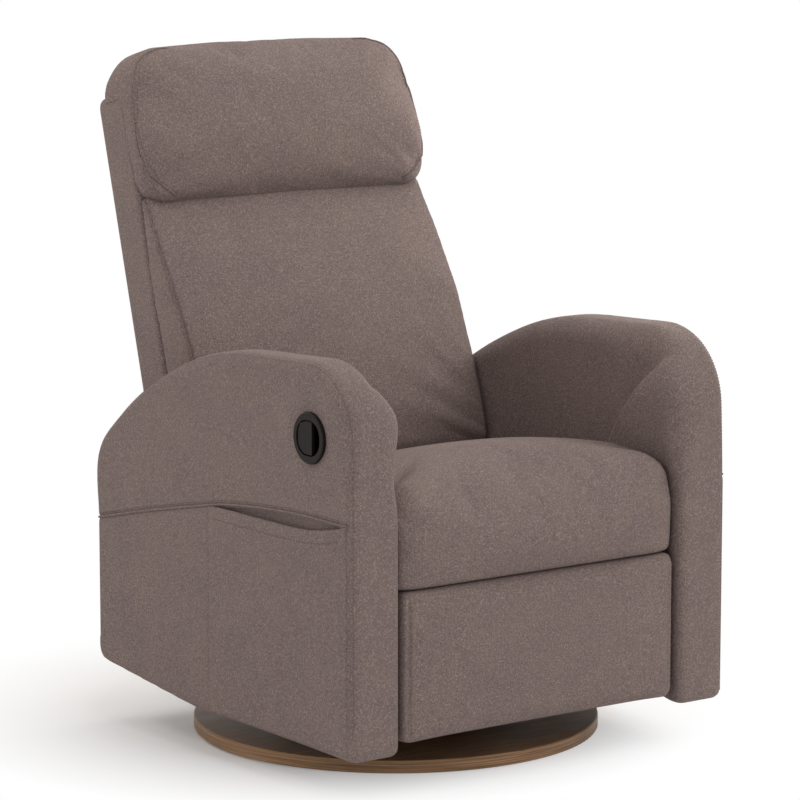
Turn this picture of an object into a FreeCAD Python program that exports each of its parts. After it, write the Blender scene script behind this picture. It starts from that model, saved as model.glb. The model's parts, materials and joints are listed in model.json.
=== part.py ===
"""Swivel rocker recliner: a round base, a sprung rocker, two padded arms, a sliding seat, a reclining back and a
folding footrest. Millimetres, +Z up, the chair faces -Y, origin on the floor under the swivel bolt.
The sitter's right is -X. Pieces that come in pairs are made on the +X side and mirrored.
"""

import FreeCAD
import Part
import math
import os

Vector = FreeCAD.Vector
X_AXIS = Vector(1, 0, 0)
Z_AXIS = Vector(0, 0, 1)

# Driving dimensions: clearances
running_gap = 0.05  # radial gap of a pin in its hole
slide_gap = 0.3  # between faces that pass each other
open_pivot_gap = 0.6  # radial gap at the pivots that carry no load
longest_reach = 0.48  # share of a run that one corner's arc may take
cut_margin = 1.0  # how far a cutting block runs past what it cuts

# Driving dimensions: cushion ends
end_station_shares = (1.0, 0.92, 0.75, 0.5, 0.0)  # of the end round, from the end inward
flat_station_shares = (0.8, 0.55, 0.28, 0.0)  # of the flat half width
end_fullness = 0.96  # how much of a quarter circle the rounded end follows

# Driving dimensions: base and swivel
glide_height = 3.0
glide_radius = 15.0
centre_glide_radius = 30.0
glide_count = 6
disc_radius = 310.0
disc_thickness = 20.0
disc_edge_round = 2.0
glide_inset = 30.0  # from the disc's edge to the glides' centres
swivel_plate_thickness = 4.0
swivel_plate_radius = 120.0
swivel_gap = 6.0  # between the two plates
ball_radius = 4.0
ball_ring_radius = 95.0
ball_count = 24
bolt_radius = 6.0
bolt_head_radius = 11.0
bolt_head_height = 6.0
bolt_head_room = 1.0
plate_screw_radius = 2.5
plate_screw_ring = 110.0
plate_screw_count = 6
plate_screw_bite = 12.0  # of the screws in the disc
screw_tip_room = 2.0
screw_head_height = 2.0
upper_plate_width = 290.0
upper_plate_depth = 236.0

# Driving dimensions: rocker
rock_height = 95.0  # rocker shaft above the floor
rocker_shaft_radius = 8.0
rocker_ear_thickness = 8.0
rocker_ear_inside = 80.0
rocker_ear_width = 60.0
rocker_ear_rim = 15.0
rocker_ear_round = 9.0
bearing_depth = 36.0
bearing_below = 14.0  # below the shaft's axis
shaft_collar_height = 3.0
shaft_collar_length = 4.0
spring_coil_radius = 15.0
spring_wire_radius = 2.5
spring_turns = 5
spring_from_shaft = 90.0

# Driving dimensions: chassis
rail_width = 25.0
rail_height = 25.0
rail_inside = 110.0
rail_front = -112.0
rail_bottom = 112.0
tube_size = 25.0
tube_wall = 2.0
front_tube_y = 22.0
rear_tube_y = 190.0

# Driving dimensions: arms
arm_inside = 267.0
arm_thickness = 82.0
arm_front = -366.0
arm_rear = 302.0
arm_top = 632.0
arm_shoulder_y = -10.0
arm_shoulder_z = 617.0
arm_fall_y = 165.0
arm_fall_z = 546.0
arm_hip_z = 434.0
arm_skirt = 69.0
arm_skirt_rise = 28.0  # of the lower edge, from the kink to the rear
arm_skirt_kink_y = 40.0
arm_front_round = 115.0
arm_shoulder_round = 760.0
arm_fall_round = 180.0
arm_hip_round = 80.0
arm_heel_round = 26.0
arm_edge_round = 16.0
arm_foot_drop = 120.0  # the outline runs this far below the skirt before it is cut off
padding_inner = 12.0
padding_outer = 16.0
padding_edge = 20.0
inner_panel_thickness = 15.0
outer_panel_thickness = 12.0
panel_lift = 4.0
arm_post_depth = 36.0

# Driving dimensions: side pockets
pocket_rear = -12.0
pocket_front = -346.0
pocket_bottom = 160.0
pocket_lip_rear = 384.0
pocket_lip_sag = 381.0
pocket_lip_front = 402.0
pocket_seam_rise = 18.0
pocket_panel_thickness = 3.0
pocket_depth = 10.0
pocket_hem = 10.0
pocket_front_rise = 1.0  # of the mouth over the lip's front end

# Driving dimensions: release handle on the right arm
handle_y = -273.0
handle_z = 520.0
bezel_radius = 37.0
bezel_thickness = 5.0
bezel_round = 2.0
cup_radius = 34.0
cup_depth = 31.0
cup_floor = 3.0
handle_opening_width = 57.0
handle_opening_height = 51.0
handle_opening_round = 24.0
paddle_share = 0.64  # of the opening's width
paddle_thickness = 5.0
paddle_recess = 1.0
paddle_gap = 1.8
paddle_barrel_radius = 3.2
paddle_pin_radius = 1.5
paddle_pin_grip = 4.0  # of the pin in the cup's wall
paddle_tail = 3.0  # of the blade behind the pin
paddle_axis_inset = 1.0  # of the pin from the place where the barrel would meet the gap

# Driving dimensions: release cable and latch
cable_radius = 2.5
cable_drop = 130.0  # straight run below the handle
cable_swing = 90.0  # height over the latch where it turns rearward
cable_landing = 60.0  # straight run above the latch
cable_jog = 4.0  # sideways, toward the latch
latch_width = 22.0
latch_depth = 50.0
latch_height = 36.0
latch_y = -140.0
latch_z = 150.0

# Driving dimensions: rear skirt
rear_skirt_bottom = 110.0
rear_skirt_top = 300.0
rear_skirt_rear = 298.0
rear_skirt_thickness = 18.0
rear_skirt_round = 5.4

# Driving dimensions: seat
seat_deck = 343.0  # top of the seat rails
track_drop = 46.0  # from the deck down to the tracks' underside
track_bottom = seat_deck - track_drop
track_height = 30.0
track_wall = 3.0
track_depth = 17.0
seat_travel = 60.0
runner_rear = 60.0
runner_length = 300.0
track_end_margin = 3.0
runner_reach = 31.0  # from the arm to the seat plate's inner face
plate_inside = arm_inside - runner_reach
plate_thickness = 5.0
seat_rail_height = 35.0
seat_rail_depth = 30.0
seat_rail_front = -316.0
seat_rail_rear = 78.0
plate_front = -306.0
plate_nose_height = 40.0
plate_nose_round = 6.0
plate_notch_round = 2.0
plate_belly_round = 12.0
webbing_width = 50.0
webbing_thickness = 3.0
webbing_spacing = 110.0
webbing_count = 4
seat_side_gap = 11.0
seat_half_width = arm_inside - seat_side_gap
seat_front = -367.0
seat_nose_rise = 121.0
seat_nose_top = seat_deck + seat_nose_rise
seat_crown = 5.0
seat_rear = 102.0
seat_rear_rise = 88.0
seat_rear_top = seat_deck + seat_rear_rise
seat_apron_drop = 39.0
seat_apron_bottom = seat_deck - seat_apron_drop
seat_apron_depth = 40.0
seat_draw = 16.0  # how far the sides are drawn in at the ends
seat_end_round = 26.0
seat_nose_setback = 12.0  # of the nose's top and bottom behind the seat's front
seat_nose_swell = 3.0  # of the nose's middle before the seat's front
seat_crown_share = 0.6  # place of the crown, as a share of the seat's front
seat_rear_slant = 18.0
seat_rounds = [4, 12, 60, 56, 150, 22, 8, 4]  # from the apron's rear foot round the nose and the top

# Driving dimensions: footrest linkage, u forward and z up, all on one side plane
link_thickness = 5.0
link_half_width = 9.0
link_front_u = 160.0
link_track_gap = 7.0  # the pivot heads pass under the tracks
link_front_z = track_bottom - link_track_gap
front_link_length = 215.0
front_link_angle = 240.0  # degrees, from the u axis
link_pair_offset = 40.0  # front pivot to rear pivot
footrest_link_offset = 55.0
pivot_radius = 4.0
pivot_head_radius = 7.0
pivot_head_height = 2.0
torque_tube_radius = 10.0

# Driving dimensions: footrest
footrest_side_gap = 19.0
footrest_half_width = arm_inside - footrest_side_gap
footrest_gap = 7.0  # below the seat's apron
footrest_height = 218.0
footrest_top = seat_apron_bottom - footrest_gap
footrest_bottom = footrest_top - footrest_height
footrest_front = -367.0
footrest_pad_depth = 33.0
footrest_board_thickness = 12.0
footrest_board_margin = 8.0
toe_setback = 40.0  # from the board's rear face to the toe pivots
toe_drop = 70.0  # from the footrest's top to the lower toe pivots
footrest_corner_round = 16.0
footrest_draw = 9.0
footrest_rounds = [2, 12, 12, 2]
bracket_flange_width = 16.0
bracket_flange_thickness = 4.0

# Driving dimensions: back, in its own upright frame over the pivot and then leaned
back_pivot_y = 190.0
back_pivot_drop = 13.0
back_pivot_z = seat_deck - back_pivot_drop
back_lean = 15.3
back_pivot_rim = 18.0
pillow_top = 722.0
pillow_overhang = 67.0  # of the pillow over the shell
pillow_height = 248.0
pillow_bottom = pillow_top - pillow_height
shell_side_gap = 2.0  # from the shell to the arm
shell_half_width = arm_inside - shell_side_gap
shell_front = -14.0
shell_rear = 66.0
shell_bottom = 24.0
shell_rear_bottom = -90.0  # the rear wall hangs lower than the sides
shell_top = pillow_top - pillow_overhang
shell_side_wall = 24.0
shell_rear_wall = 18.0
shell_round = 14.0
post_width = 25.0
post_bottom = 32.0
back_rail_height = 60.0
back_rail_depth = 25.0
lower_rail_bottom = 70.0
back_webbing_count = 3
back_webbing_spacing = 130.0
bracket_height = 150.0
bracket_corner_round = 4.0
back_cushion_side_step = 3.0
back_cushion_half_width = shell_half_width - back_cushion_side_step
back_cushion_bottom = 44.0
back_cushion_top = pillow_bottom
back_cushion_low_depth = 108.0
back_cushion_waist_drop = 182.0
back_cushion_waist = back_cushion_top - back_cushion_waist_drop
back_cushion_waist_depth = 76.0
back_cushion_top_depth = 27.0
back_cushion_draw = 10.0
back_cushion_end_round = 24.0
back_cushion_crown = 6.0
back_cushion_rear_lift = 8.0
back_cushion_rounds = [3, 16, 400, 4, 1]  # from the rear foot round the front to the rear top
pillow_side_overhang = 7.0
pillow_half_width = shell_half_width + pillow_side_overhang
pillow_front_depth = 60.0
pillow_rear_depth = 38.0
pillow_draw = 16.0
pillow_end_round = 34.0
pillow_crown = 6.0
pillow_chin_setback = 14.0
pillow_bulge_drop = 40.0  # of the fullest height below the pillow's middle
pillow_top_share = 0.45  # of the front depth that is left at the top
pillow_rounds = [2, 22, 120, 30, 18, 3, 0]  # from the rear foot round the front and over the shell


# Helpers for outlines and simple solids
def box(x0, x1, y0, y1, z0, z1):
    return Part.makeBox(x1 - x0, y1 - y0, z1 - z0, Vector(x0, y0, z0))


def rod_x(x0, x1, y, z, radius):
    return Part.makeCylinder(radius, x1 - x0, Vector(x0, y, z), X_AXIS)


def rod_z(x, y, z0, z1, radius):
    return Part.makeCylinder(radius, z1 - z0, Vector(x, y, z0), Z_AXIS)


def mirrored(shape):
    return shape.mirror(Vector(0, 0, 0), X_AXIS)


def pair(shape):
    return Part.makeCompound([shape, mirrored(shape)])


def side_point(x):
    """Places a (y, z) pair in the side plane at x."""
    return lambda p: Vector(x, p[0], p[1])


def rounded_outline(points, radii, place):
    """Closed wire of straight runs, with a tangent arc at each corner that has a radius, as far as the runs allow."""
    corners = []
    for i, here in enumerate(points):
        here = Vector(here[0], here[1], 0)
        before = Vector(points[i - 1][0], points[i - 1][1], 0)
        after = points[(i + 1) % len(points)]
        after = Vector(after[0], after[1], 0)
        back = (before - here).normalize()
        on = (after - here).normalize()
        half = 0.5 * math.acos(max(-1.0, min(1.0, back.dot(on))))
        room = longest_reach * min((before - here).Length, (after - here).Length)
        reach = min(radii[i] / math.tan(half), room)
        radius = reach * math.tan(half)
        inward = (back + on).normalize()
        middle = here + inward * (radius / math.sin(half) - radius)
        corners.append((here + back * reach, middle, here + on * reach))
    edges = []
    for i, (start, middle, end) in enumerate(corners):
        last = corners[i - 1][2]
        if (start - last).Length > 1e-6:
            edges.append(Part.LineSegment(place(last), place(start)).toShape())
        if radii[i] > 0:
            edges.append(Part.Arc(place(start), place(middle), place(end)).toShape())
    return Part.Wire(edges)


def inset_points(points, distance):
    """The same corners with every run moved inward; the corners go clockwise in (y, z)."""
    result = []
    for i, here in enumerate(points):
        before = points[i - 1]
        after = points[(i + 1) % len(points)]
        ay, az = here[0] - before[0], here[1] - before[1]
        by, bz = after[0] - here[0], after[1] - here[1]
        al, bl = math.hypot(ay, az), math.hypot(by, bz)
        ay, az, by, bz = ay / al, az / al, by / bl, bz / bl
        spread = 1 + ay * by + az * bz
        ny, nz = (az + bz) / spread, -(ay + by) / spread
        result.append((here[0] + ny * distance, here[1] + nz * distance))
    return result


def prism_x(points, radii, x0, x1):
    return Part.Face(rounded_outline(points, radii, side_point(x0))).extrude(Vector(x1 - x0, 0, 0))


def loft_x(sections):
    """Solid through (x, points, radii) sections, straight from each to the next."""
    wires = [rounded_outline(points, radii, side_point(x)) for x, points, radii in sections]
    return Part.makeLoft(wires, True, True)


def edges_in_plane(shape, x):
    return [e for e in shape.Edges if all(abs(v.X - x) < 1e-4 for v in e.Vertexes) and flat_at(e, x)]


def flat_at(edge, x):
    middle = edge.valueAt(0.5 * (edge.FirstParameter + edge.LastParameter))
    return abs(middle.x - x) < 1e-4


def cushion_stations(half_width, end_round):
    """Stations across a cushion, each with how far its outline is drawn in there, from 0 to 1."""
    flat = half_width - end_round
    stations = []
    for share in end_station_shares:
        stations.append((-flat - end_round * share, 1 - math.sqrt(1 - end_fullness * share * share)))
    for share in flat_station_shares:
        stations.append((-flat * share, 0.0))
    return stations + [(-x, draw) for x, draw in reversed(stations[:-1])]


def crown_at(x, half_width):
    return 1 - (x / half_width) ** 2


# Heights and places that follow from the driving dimensions
disc_bottom = glide_height
disc_top = disc_bottom + disc_thickness
lower_plate_top = disc_top + swivel_plate_thickness
upper_plate_bottom = lower_plate_top + swivel_gap
upper_plate_top = upper_plate_bottom + swivel_plate_thickness
arm_outside = arm_inside + arm_thickness
inner_panel_x = arm_inside + padding_inner
hollow_inside = inner_panel_x + inner_panel_thickness
outer_panel_x = arm_outside - padding_outer - outer_panel_thickness


def base_disc():
    disc = Part.makeCylinder(disc_radius, disc_thickness, Vector(0, 0, disc_bottom))
    disc = disc.makeFillet(disc_edge_round, [e for e in disc.Edges if e.Closed])
    disc = disc.cut(rod_z(0, 0, disc_bottom, disc_top, bolt_radius + running_gap))
    well = bolt_head_height + 2 * slide_gap
    disc = disc.cut(rod_z(0, 0, disc_bottom, disc_bottom + well, bolt_head_radius + bolt_head_room))
    for x, y in ring_points(plate_screw_ring, plate_screw_count):
        hole_bottom = disc_top - plate_screw_bite - screw_tip_room
        disc = disc.cut(rod_z(x, y, hole_bottom, disc_top, plate_screw_radius + running_gap))
    return disc


def ring_points(radius, count):
    turns = [2 * math.pi * (i + 0.5) / count for i in range(count)]
    return [(radius * math.cos(t), radius * math.sin(t)) for t in turns]


def floor_glides():
    pads = [rod_z(0, 0, 0, glide_height, centre_glide_radius)]
    for x, y in ring_points(disc_radius - glide_inset, glide_count):
        pads.append(rod_z(x, y, 0, glide_height, glide_radius))
    return Part.makeCompound(pads)


def ball_groove():
    middle = 0.5 * (lower_plate_top + upper_plate_bottom)
    return Part.makeTorus(ball_ring_radius, ball_radius + running_gap, Vector(0, 0, middle))


def lower_swivel_plate():
    plate = rod_z(0, 0, disc_top, lower_plate_top, swivel_plate_radius)
    plate = plate.cut(rod_z(0, 0, disc_top, lower_plate_top, bolt_radius + running_gap))
    for x, y in ring_points(plate_screw_ring, plate_screw_count):
        plate = plate.cut(rod_z(x, y, disc_top, lower_plate_top, plate_screw_radius + running_gap))
    return plate.cut(ball_groove())


def swivel_balls():
    middle = 0.5 * (lower_plate_top + upper_plate_bottom)
    places = ring_points(ball_ring_radius, ball_count)
    return Part.makeCompound([Part.makeSphere(ball_radius, Vector(x, y, middle)) for x, y in places])


def swivel_bolt():
    head_bottom = disc_bottom + slide_gap
    nut_bottom = upper_plate_top + slide_gap
    nut_top = nut_bottom + bolt_head_height
    bolt = rod_z(0, 0, head_bottom, nut_top + bolt_radius, bolt_radius)
    bolt = bolt.fuse(rod_z(0, 0, head_bottom, head_bottom + bolt_head_height, bolt_head_radius))
    return bolt.fuse(rod_z(0, 0, nut_bottom, nut_top, bolt_head_radius)).removeSplitter()


def plate_screws():
    screws = []
    for x, y in ring_points(plate_screw_ring, plate_screw_count):
        shank = rod_z(x, y, disc_top - plate_screw_bite, lower_plate_top, plate_screw_radius)
        head = rod_z(x, y, lower_plate_top, lower_plate_top + screw_head_height, 2 * plate_screw_radius)
        screws.append(shank.fuse(head))
    return Part.makeCompound(screws)


def upper_swivel_plate():
    half_x, half_y = 0.5 * upper_plate_width, 0.5 * upper_plate_depth
    plate = box(-half_x, half_x, -half_y, half_y, upper_plate_bottom, upper_plate_top)
    plate = plate.cut(rod_z(0, 0, upper_plate_bottom, upper_plate_top, bolt_radius + slide_gap))
    return plate.cut(ball_groove())


def rocker_ears():
    half = 0.5 * rocker_ear_width
    top = rock_height + rocker_ear_rim
    points = [(-half, upper_plate_top), (-rocker_ear_rim, top), (rocker_ear_rim, top), (half, upper_plate_top)]
    inside, outside = rocker_ear_inside, rocker_ear_inside + rocker_ear_thickness
    ear = prism_x(points, [0, rocker_ear_round, rocker_ear_round, 0], inside, outside)
    return pair(ear.cut(rod_x(inside, outside, 0, rock_height, rocker_shaft_radius + running_gap)))


def rocker_shaft():
    half = rail_inside + rail_width + slide_gap
    shaft = rod_x(-half - shaft_collar_length, half + shaft_collar_length, 0, rock_height, rocker_shaft_radius)
    collar = rod_x(half, half + shaft_collar_length, 0, rock_height, rocker_shaft_radius + shaft_collar_height)
    return shaft.fuse(collar).fuse(mirrored(collar)).removeSplitter()


def biarc(p1, t1, p2, t2):
    """Two arcs that leave p1 along t1 and reach p2 along t2."""
    chord = p2 - p1
    both = t1 + t2
    spread = 2 * (1 - t1.dot(t2))
    along = chord.dot(both)
    reach = (-along + math.sqrt(along * along + spread * chord.dot(chord) * 2)) / spread
    first, second = p1 + t1 * reach, p2 - t2 * reach
    joint = (first + second) * 0.5
    return [corner_arc(p1, first, joint), corner_arc(joint, second, p2)]


def corner_arc(start, corner, end):
    back, on = start - corner, end - corner
    reach = back.Length
    turn = math.pi - back.getAngle(on)
    inward = (back + on).normalize()
    middle = corner + inward * (reach * math.tan(0.25 * turn))
    return Part.Arc(start, middle, end).toShape()


def coil_spring(x, y, bottom, top):
    """Compression spring with flat-lying end turns left out: one unbroken tube of quarter-turn biarcs."""
    rise = (top - bottom - 2 * spring_wire_radius) / spring_turns
    slope = rise / (2 * math.pi)

    def spot(turn):
        z = bottom + spring_wire_radius + slope * turn
        return Vector(x + spring_coil_radius * math.cos(turn), y + spring_coil_radius * math.sin(turn), z)

    def heading(turn):
        around = Vector(-spring_coil_radius * math.sin(turn), spring_coil_radius * math.cos(turn), slope)
        return around.normalize()

    edges = []
    for quarter in range(4 * spring_turns):
        a, b = 0.5 * math.pi * quarter, 0.5 * math.pi * (quarter + 1)
        edges += biarc(spot(a), heading(a), spot(b), heading(b))
    path = Part.Wire(edges)
    ring = Part.Wire(Part.makeCircle(spring_wire_radius, spot(0), heading(0)))
    print("rocker spring: least gap between turns", round(rise - 2 * spring_wire_radius, 2), "mm")
    return path.makePipeShell([ring], True, True)


def rocker_springs(side):
    x = rail_inside + 0.5 * rail_width
    spring = coil_spring(x, side * spring_from_shaft, upper_plate_top, rail_bottom)
    return pair(spring)


def bearing_blocks():
    half = 0.5 * bearing_depth
    inside, outside = rail_inside, rail_inside + rail_width
    block = box(inside, outside, -half, half, rock_height - bearing_below, rail_bottom)
    return pair(block.cut(rod_x(inside, outside, 0, rock_height, rocker_shaft_radius + running_gap)))


def chassis_rails():
    rear = rear_tube_y + tube_size
    top = rail_bottom + rail_height
    rail = box(rail_inside, rail_inside + rail_width, rail_front, rear, rail_bottom, top)
    wall = tube_wall
    bore = box(
        rail_inside + wall, rail_inside + rail_width - wall, rail_front, rear, rail_bottom + wall, top - wall
    )
    return pair(rail.cut(bore))


def cross_tube(y, margin=0.0):
    """Square tube from arm panel to arm panel; a margin gives the clearance cut around it."""
    half = inner_panel_x
    bottom = rail_bottom - tube_size
    tube = box(-half, half, y - margin, y + tube_size + margin, bottom - margin, rail_bottom + margin)
    if margin:
        return tube
    wall = tube_wall
    bore = box(-half, half, y + wall, y + tube_size - wall, bottom + wall, rail_bottom - wall)
    return tube.cut(bore)


def arm_points():
    foot = arm_skirt - arm_foot_drop
    return [
        (arm_front, foot),
        (arm_front, arm_top),
        (arm_shoulder_y, arm_shoulder_z),
        (arm_fall_y, arm_fall_z),
        (arm_rear, arm_hip_z),
        (arm_rear, foot),
    ]


def arm_radii(inset):
    rounds = [arm_heel_round, arm_front_round, arm_shoulder_round, arm_fall_round, arm_hip_round, arm_heel_round]
    return [r - inset for r in rounds]


def arm_hollow(x0, x1):
    """Slab of the space inside the padding, between x0 and x1."""
    return prism_x(inset_points(arm_points(), padding_edge), arm_radii(padding_edge), x0, x1)


def trimmed_at_skirt(shape, lift=0.0):
    """Cuts a slab off at the skirt, which rises behind its kink, with the rear corner rounded."""
    far = 2 * abs(arm_front)
    bottom = arm_skirt + lift
    rear = arm_rear - (padding_edge if lift else 0.0)
    points = [(-far, bottom), (-far, far), (rear, far), (rear, bottom + arm_skirt_rise), (arm_skirt_kink_y, bottom)]
    keep = prism_x(points, [0, 0, 0, arm_heel_round, 0], arm_inside - cut_margin, arm_outside + cut_margin)
    return shape.common(keep)


def arm_panel(x0, x1):
    return trimmed_at_skirt(arm_hollow(x0, x1), panel_lift)


def arm_post(y0, y1):
    slab = arm_panel(hollow_inside, outer_panel_x)
    return slab.common(box(hollow_inside, outer_panel_x, y0, y1, 0, arm_fall_z))


def pocket_outline(y_rear, y_front, bottom, lip):
    """Face in the side plane, straight at the sides and bottom, with a three-point arc along its top."""
    rear_top, middle, front_top = lip
    place = side_point(arm_outside)
    edges = [
        Part.LineSegment(place((y_rear, bottom)), place((y_front, bottom))).toShape(),
        Part.LineSegment(place((y_front, bottom)), place((y_front, front_top))).toShape(),
        Part.Arc(
            place((y_front, front_top)), place((0.5 * (y_rear + y_front), middle)), place((y_rear, rear_top))
        ).toShape(),
        Part.LineSegment(place((y_rear, rear_top)), place((y_rear, bottom))).toShape(),
    ]
    return Part.Face(Part.Wire(edges))


def pocket_panel():
    lip = (pocket_lip_rear, pocket_lip_sag, pocket_lip_front)
    face = pocket_outline(pocket_rear, pocket_front, pocket_bottom, lip)
    return face.extrude(Vector(-pocket_panel_thickness, 0, 0))


def pocket_hollow():
    hem = pocket_hem
    lip = (pocket_lip_rear, pocket_lip_sag + pocket_seam_rise, pocket_lip_front + pocket_front_rise)
    face = pocket_outline(pocket_rear - hem, pocket_front + hem, pocket_bottom + hem, lip)
    return face.extrude(Vector(-pocket_depth, 0, 0))


def arm_cover(with_handle):
    block = prism_x(arm_points(), arm_radii(0), arm_inside, arm_outside)
    edges = edges_in_plane(block, arm_inside) + edges_in_plane(block, arm_outside)
    block = trimmed_at_skirt(block.makeFillet(arm_edge_round, edges))
    block = block.cut(arm_hollow(inner_panel_x, arm_outside - padding_outer))
    block = block.cut(pocket_panel()).cut(pocket_hollow())
    for y in (front_tube_y, rear_tube_y):
        block = block.cut(cross_tube(y, slide_gap))
    if with_handle:
        block = block.cut(cup_bore(padding_outer))
    return block


def cup_bore(length):
    """Hole in the outer face of an arm on the +X side, deep enough for the handle's cup."""
    return rod_x(arm_outside - length, arm_outside, handle_y, handle_z, cup_radius + slide_gap)


def opening_prism(x0, x1, inset=0.0):
    half_w = 0.5 * handle_opening_width - inset
    half_h = 0.5 * handle_opening_height - inset
    points = [
        (handle_y - half_w, handle_z - half_h),
        (handle_y - half_w, handle_z + half_h),
        (handle_y + half_w, handle_z + half_h),
        (handle_y + half_w, handle_z - half_h),
    ]
    return prism_x(points, 4 * [handle_opening_round - inset], x0, x1)


def paddle_axis():
    x = arm_outside + bezel_thickness - paddle_recess - paddle_barrel_radius
    y = handle_y + 0.5 * handle_opening_width - paddle_gap - paddle_barrel_radius - paddle_axis_inset
    return x, y


def opening_half_height(y):
    """Half of the handle opening's height at y, in its rounded rear part."""
    into_round = y - handle_y - (0.5 * handle_opening_width - handle_opening_round)
    straight = 0.5 * handle_opening_height - handle_opening_round
    return straight + math.sqrt(handle_opening_round**2 - into_round**2)


def handle_surround():
    bezel = rod_x(arm_outside, arm_outside + bezel_thickness, handle_y, handle_z, bezel_radius)
    rim = [e for e in bezel.Edges if e.Closed and flat_at(e, arm_outside + bezel_thickness)]
    bezel = bezel.makeFillet(bezel_round, rim)
    cup = bezel.fuse(rod_x(arm_outside - cup_depth, arm_outside, handle_y, handle_z, cup_radius))
    cup = cup.cut(opening_prism(arm_outside - cup_depth + cup_floor, arm_outside + bezel_thickness))
    x, y = paddle_axis()
    grip = opening_half_height(y) + paddle_pin_grip + running_gap
    return cup.cut(rod_z(x, y, handle_z - grip, handle_z + grip, paddle_pin_radius + running_gap))


def release_paddle():
    x, y = paddle_axis()
    outer = arm_outside + bezel_thickness - paddle_recess
    blade = opening_prism(outer - paddle_thickness, outer, paddle_gap)
    front = handle_y + (0.5 - paddle_share) * handle_opening_width
    far = handle_opening_height
    blade = blade.common(box(outer - paddle_thickness, outer, front, y + paddle_tail, 0, handle_z + far))
    half = opening_half_height(y + paddle_barrel_radius) - paddle_gap
    barrel = rod_z(x, y, handle_z - half, handle_z + half, paddle_barrel_radius)
    paddle = blade.fuse(barrel).removeSplitter()
    return paddle.cut(rod_z(x, y, handle_z - far, handle_z + far, paddle_pin_radius + running_gap))


def paddle_pin():
    x, y = paddle_axis()
    grip = opening_half_height(y) + paddle_pin_grip
    return rod_z(x, y, handle_z - grip, handle_z + grip, paddle_pin_radius)


def latch_box():
    inside = hollow_inside
    half = 0.5 * latch_depth
    return box(inside, inside + latch_width, latch_y - half, latch_y + half, latch_z, latch_z + latch_height)


def release_cable():
    """Inner cable from the handle's cup to the latch, in the hollow of the arm."""
    x = arm_outside - cup_depth - cable_radius - slide_gap
    latch_top = latch_z + latch_height
    route = [
        Vector(x, handle_y, handle_z),
        Vector(x, handle_y, handle_z - cable_drop),
        Vector(x, 0.5 * (handle_y + latch_y), latch_top + cable_swing),
        Vector(x - cable_jog, latch_y, latch_top + cable_landing),
        Vector(x - cable_jog, latch_y, latch_top),
    ]
    return bent_tube(route, cable_radius)


def bent_tube(route, radius):
    """Tube along straight runs with the largest tangent arc that each pair of runs allows."""
    edges = []
    last = route[0]
    for before, here, after in zip(route, route[1:], route[2:]):
        back, on = before - here, after - here
        reach = longest_reach * min(back.Length, on.Length)
        turn = math.pi - back.getAngle(on)
        print("cable bend radius", round(reach / math.tan(0.5 * turn), 1), "mm")
        start = here + back.normalize() * reach
        end = here + on.normalize() * reach
        edges.append(Part.LineSegment(last, start).toShape())
        edges.append(corner_arc(start, here, end))
        last = end
    edges.append(Part.LineSegment(last, route[-1]).toShape())
    path = Part.Wire(edges)
    ring = Part.Wire(Part.makeCircle(radius, route[0], route[1] - route[0]))
    tube = path.makePipeShell([ring], True, True)
    print("cable volume share", round(tube.Volume / (math.pi * radius**2 * path.Length), 4))
    return tube


def rear_skirt():
    half = arm_inside - slide_gap
    front = rear_skirt_rear - rear_skirt_thickness
    panel = box(-half, half, front, rear_skirt_rear, rear_skirt_bottom, rear_skirt_top)
    return panel.makeFillet(rear_skirt_round, panel.Edges)


def seat_track():
    rear = runner_rear + track_end_margin
    front = runner_rear - runner_length - seat_travel - track_end_margin
    inside = arm_inside - track_depth
    top = track_bottom + track_height
    channel = box(inside, arm_inside, front, rear, track_bottom, top)
    slot = box(inside, arm_inside - track_wall, front, rear, track_bottom + track_wall, top - track_wall)
    return pair(channel.cut(slot))


def seat_runner():
    front = runner_rear - runner_length
    bottom = track_bottom + track_wall + slide_gap
    top = track_bottom + track_height - track_wall - slide_gap
    outside = arm_inside - track_wall - slide_gap
    return pair(box(plate_inside + plate_thickness, outside, front, runner_rear, bottom, top))


# Footrest linkage: pivots in (u, z), u pointing forward
board_front = footrest_front + footrest_pad_depth
board_rear = board_front + footrest_board_thickness
front_dir = (math.cos(math.radians(front_link_angle)), math.sin(math.radians(front_link_angle)))
pivot_front = (link_front_u, link_front_z)
knee = (link_front_u + front_link_length * front_dir[0], link_front_z + front_link_length * front_dir[1])
toe = (-board_rear - toe_setback, footrest_top - toe_drop)
main_link_u, main_link_z = toe[0] - knee[0], toe[1] - knee[1]
main_reach = math.hypot(main_link_u, main_link_z)
main_dir = (main_link_u / main_reach, main_link_z / main_reach)
pivot_rear = (link_front_u - link_pair_offset * main_dir[0], link_front_z - link_pair_offset * main_dir[1])
rear_knee = (knee[0] - link_pair_offset * main_dir[0], knee[1] - link_pair_offset * main_dir[1])
upper_knee = (knee[0] - footrest_link_offset * front_dir[0], knee[1] - footrest_link_offset * front_dir[1])
upper_toe = (upper_knee[0] + main_link_u, upper_knee[1] + main_link_z)
outer_layer = (plate_inside - slide_gap - link_thickness, plate_inside - slide_gap)
inner_layer = (outer_layer[0] - slide_gap - link_thickness, outer_layer[0] - slide_gap)


def link_bar(start, end, layer):
    """Flat bar with round ends between two (u, z) pivots."""
    length = math.hypot(end[0] - start[0], end[1] - start[1])
    angle = math.degrees(math.atan2(end[1] - start[1], end[0] - start[0]))
    half = link_half_width
    points = [(half, -half), (-length - half, -half), (-length - half, half), (half, half)]
    bar = prism_x(points, 4 * [half * 0.999], layer[0], layer[1])
    bar.rotate(Vector(0, 0, 0), X_AXIS, -angle)
    bar.translate(Vector(0, -start[0], start[1]))
    return bar


def pivot_hole(bar, pivot, layer, gap=running_gap):
    return bar.cut(rod_x(layer[0], layer[1], -pivot[0], pivot[1], pivot_radius + gap))


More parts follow.
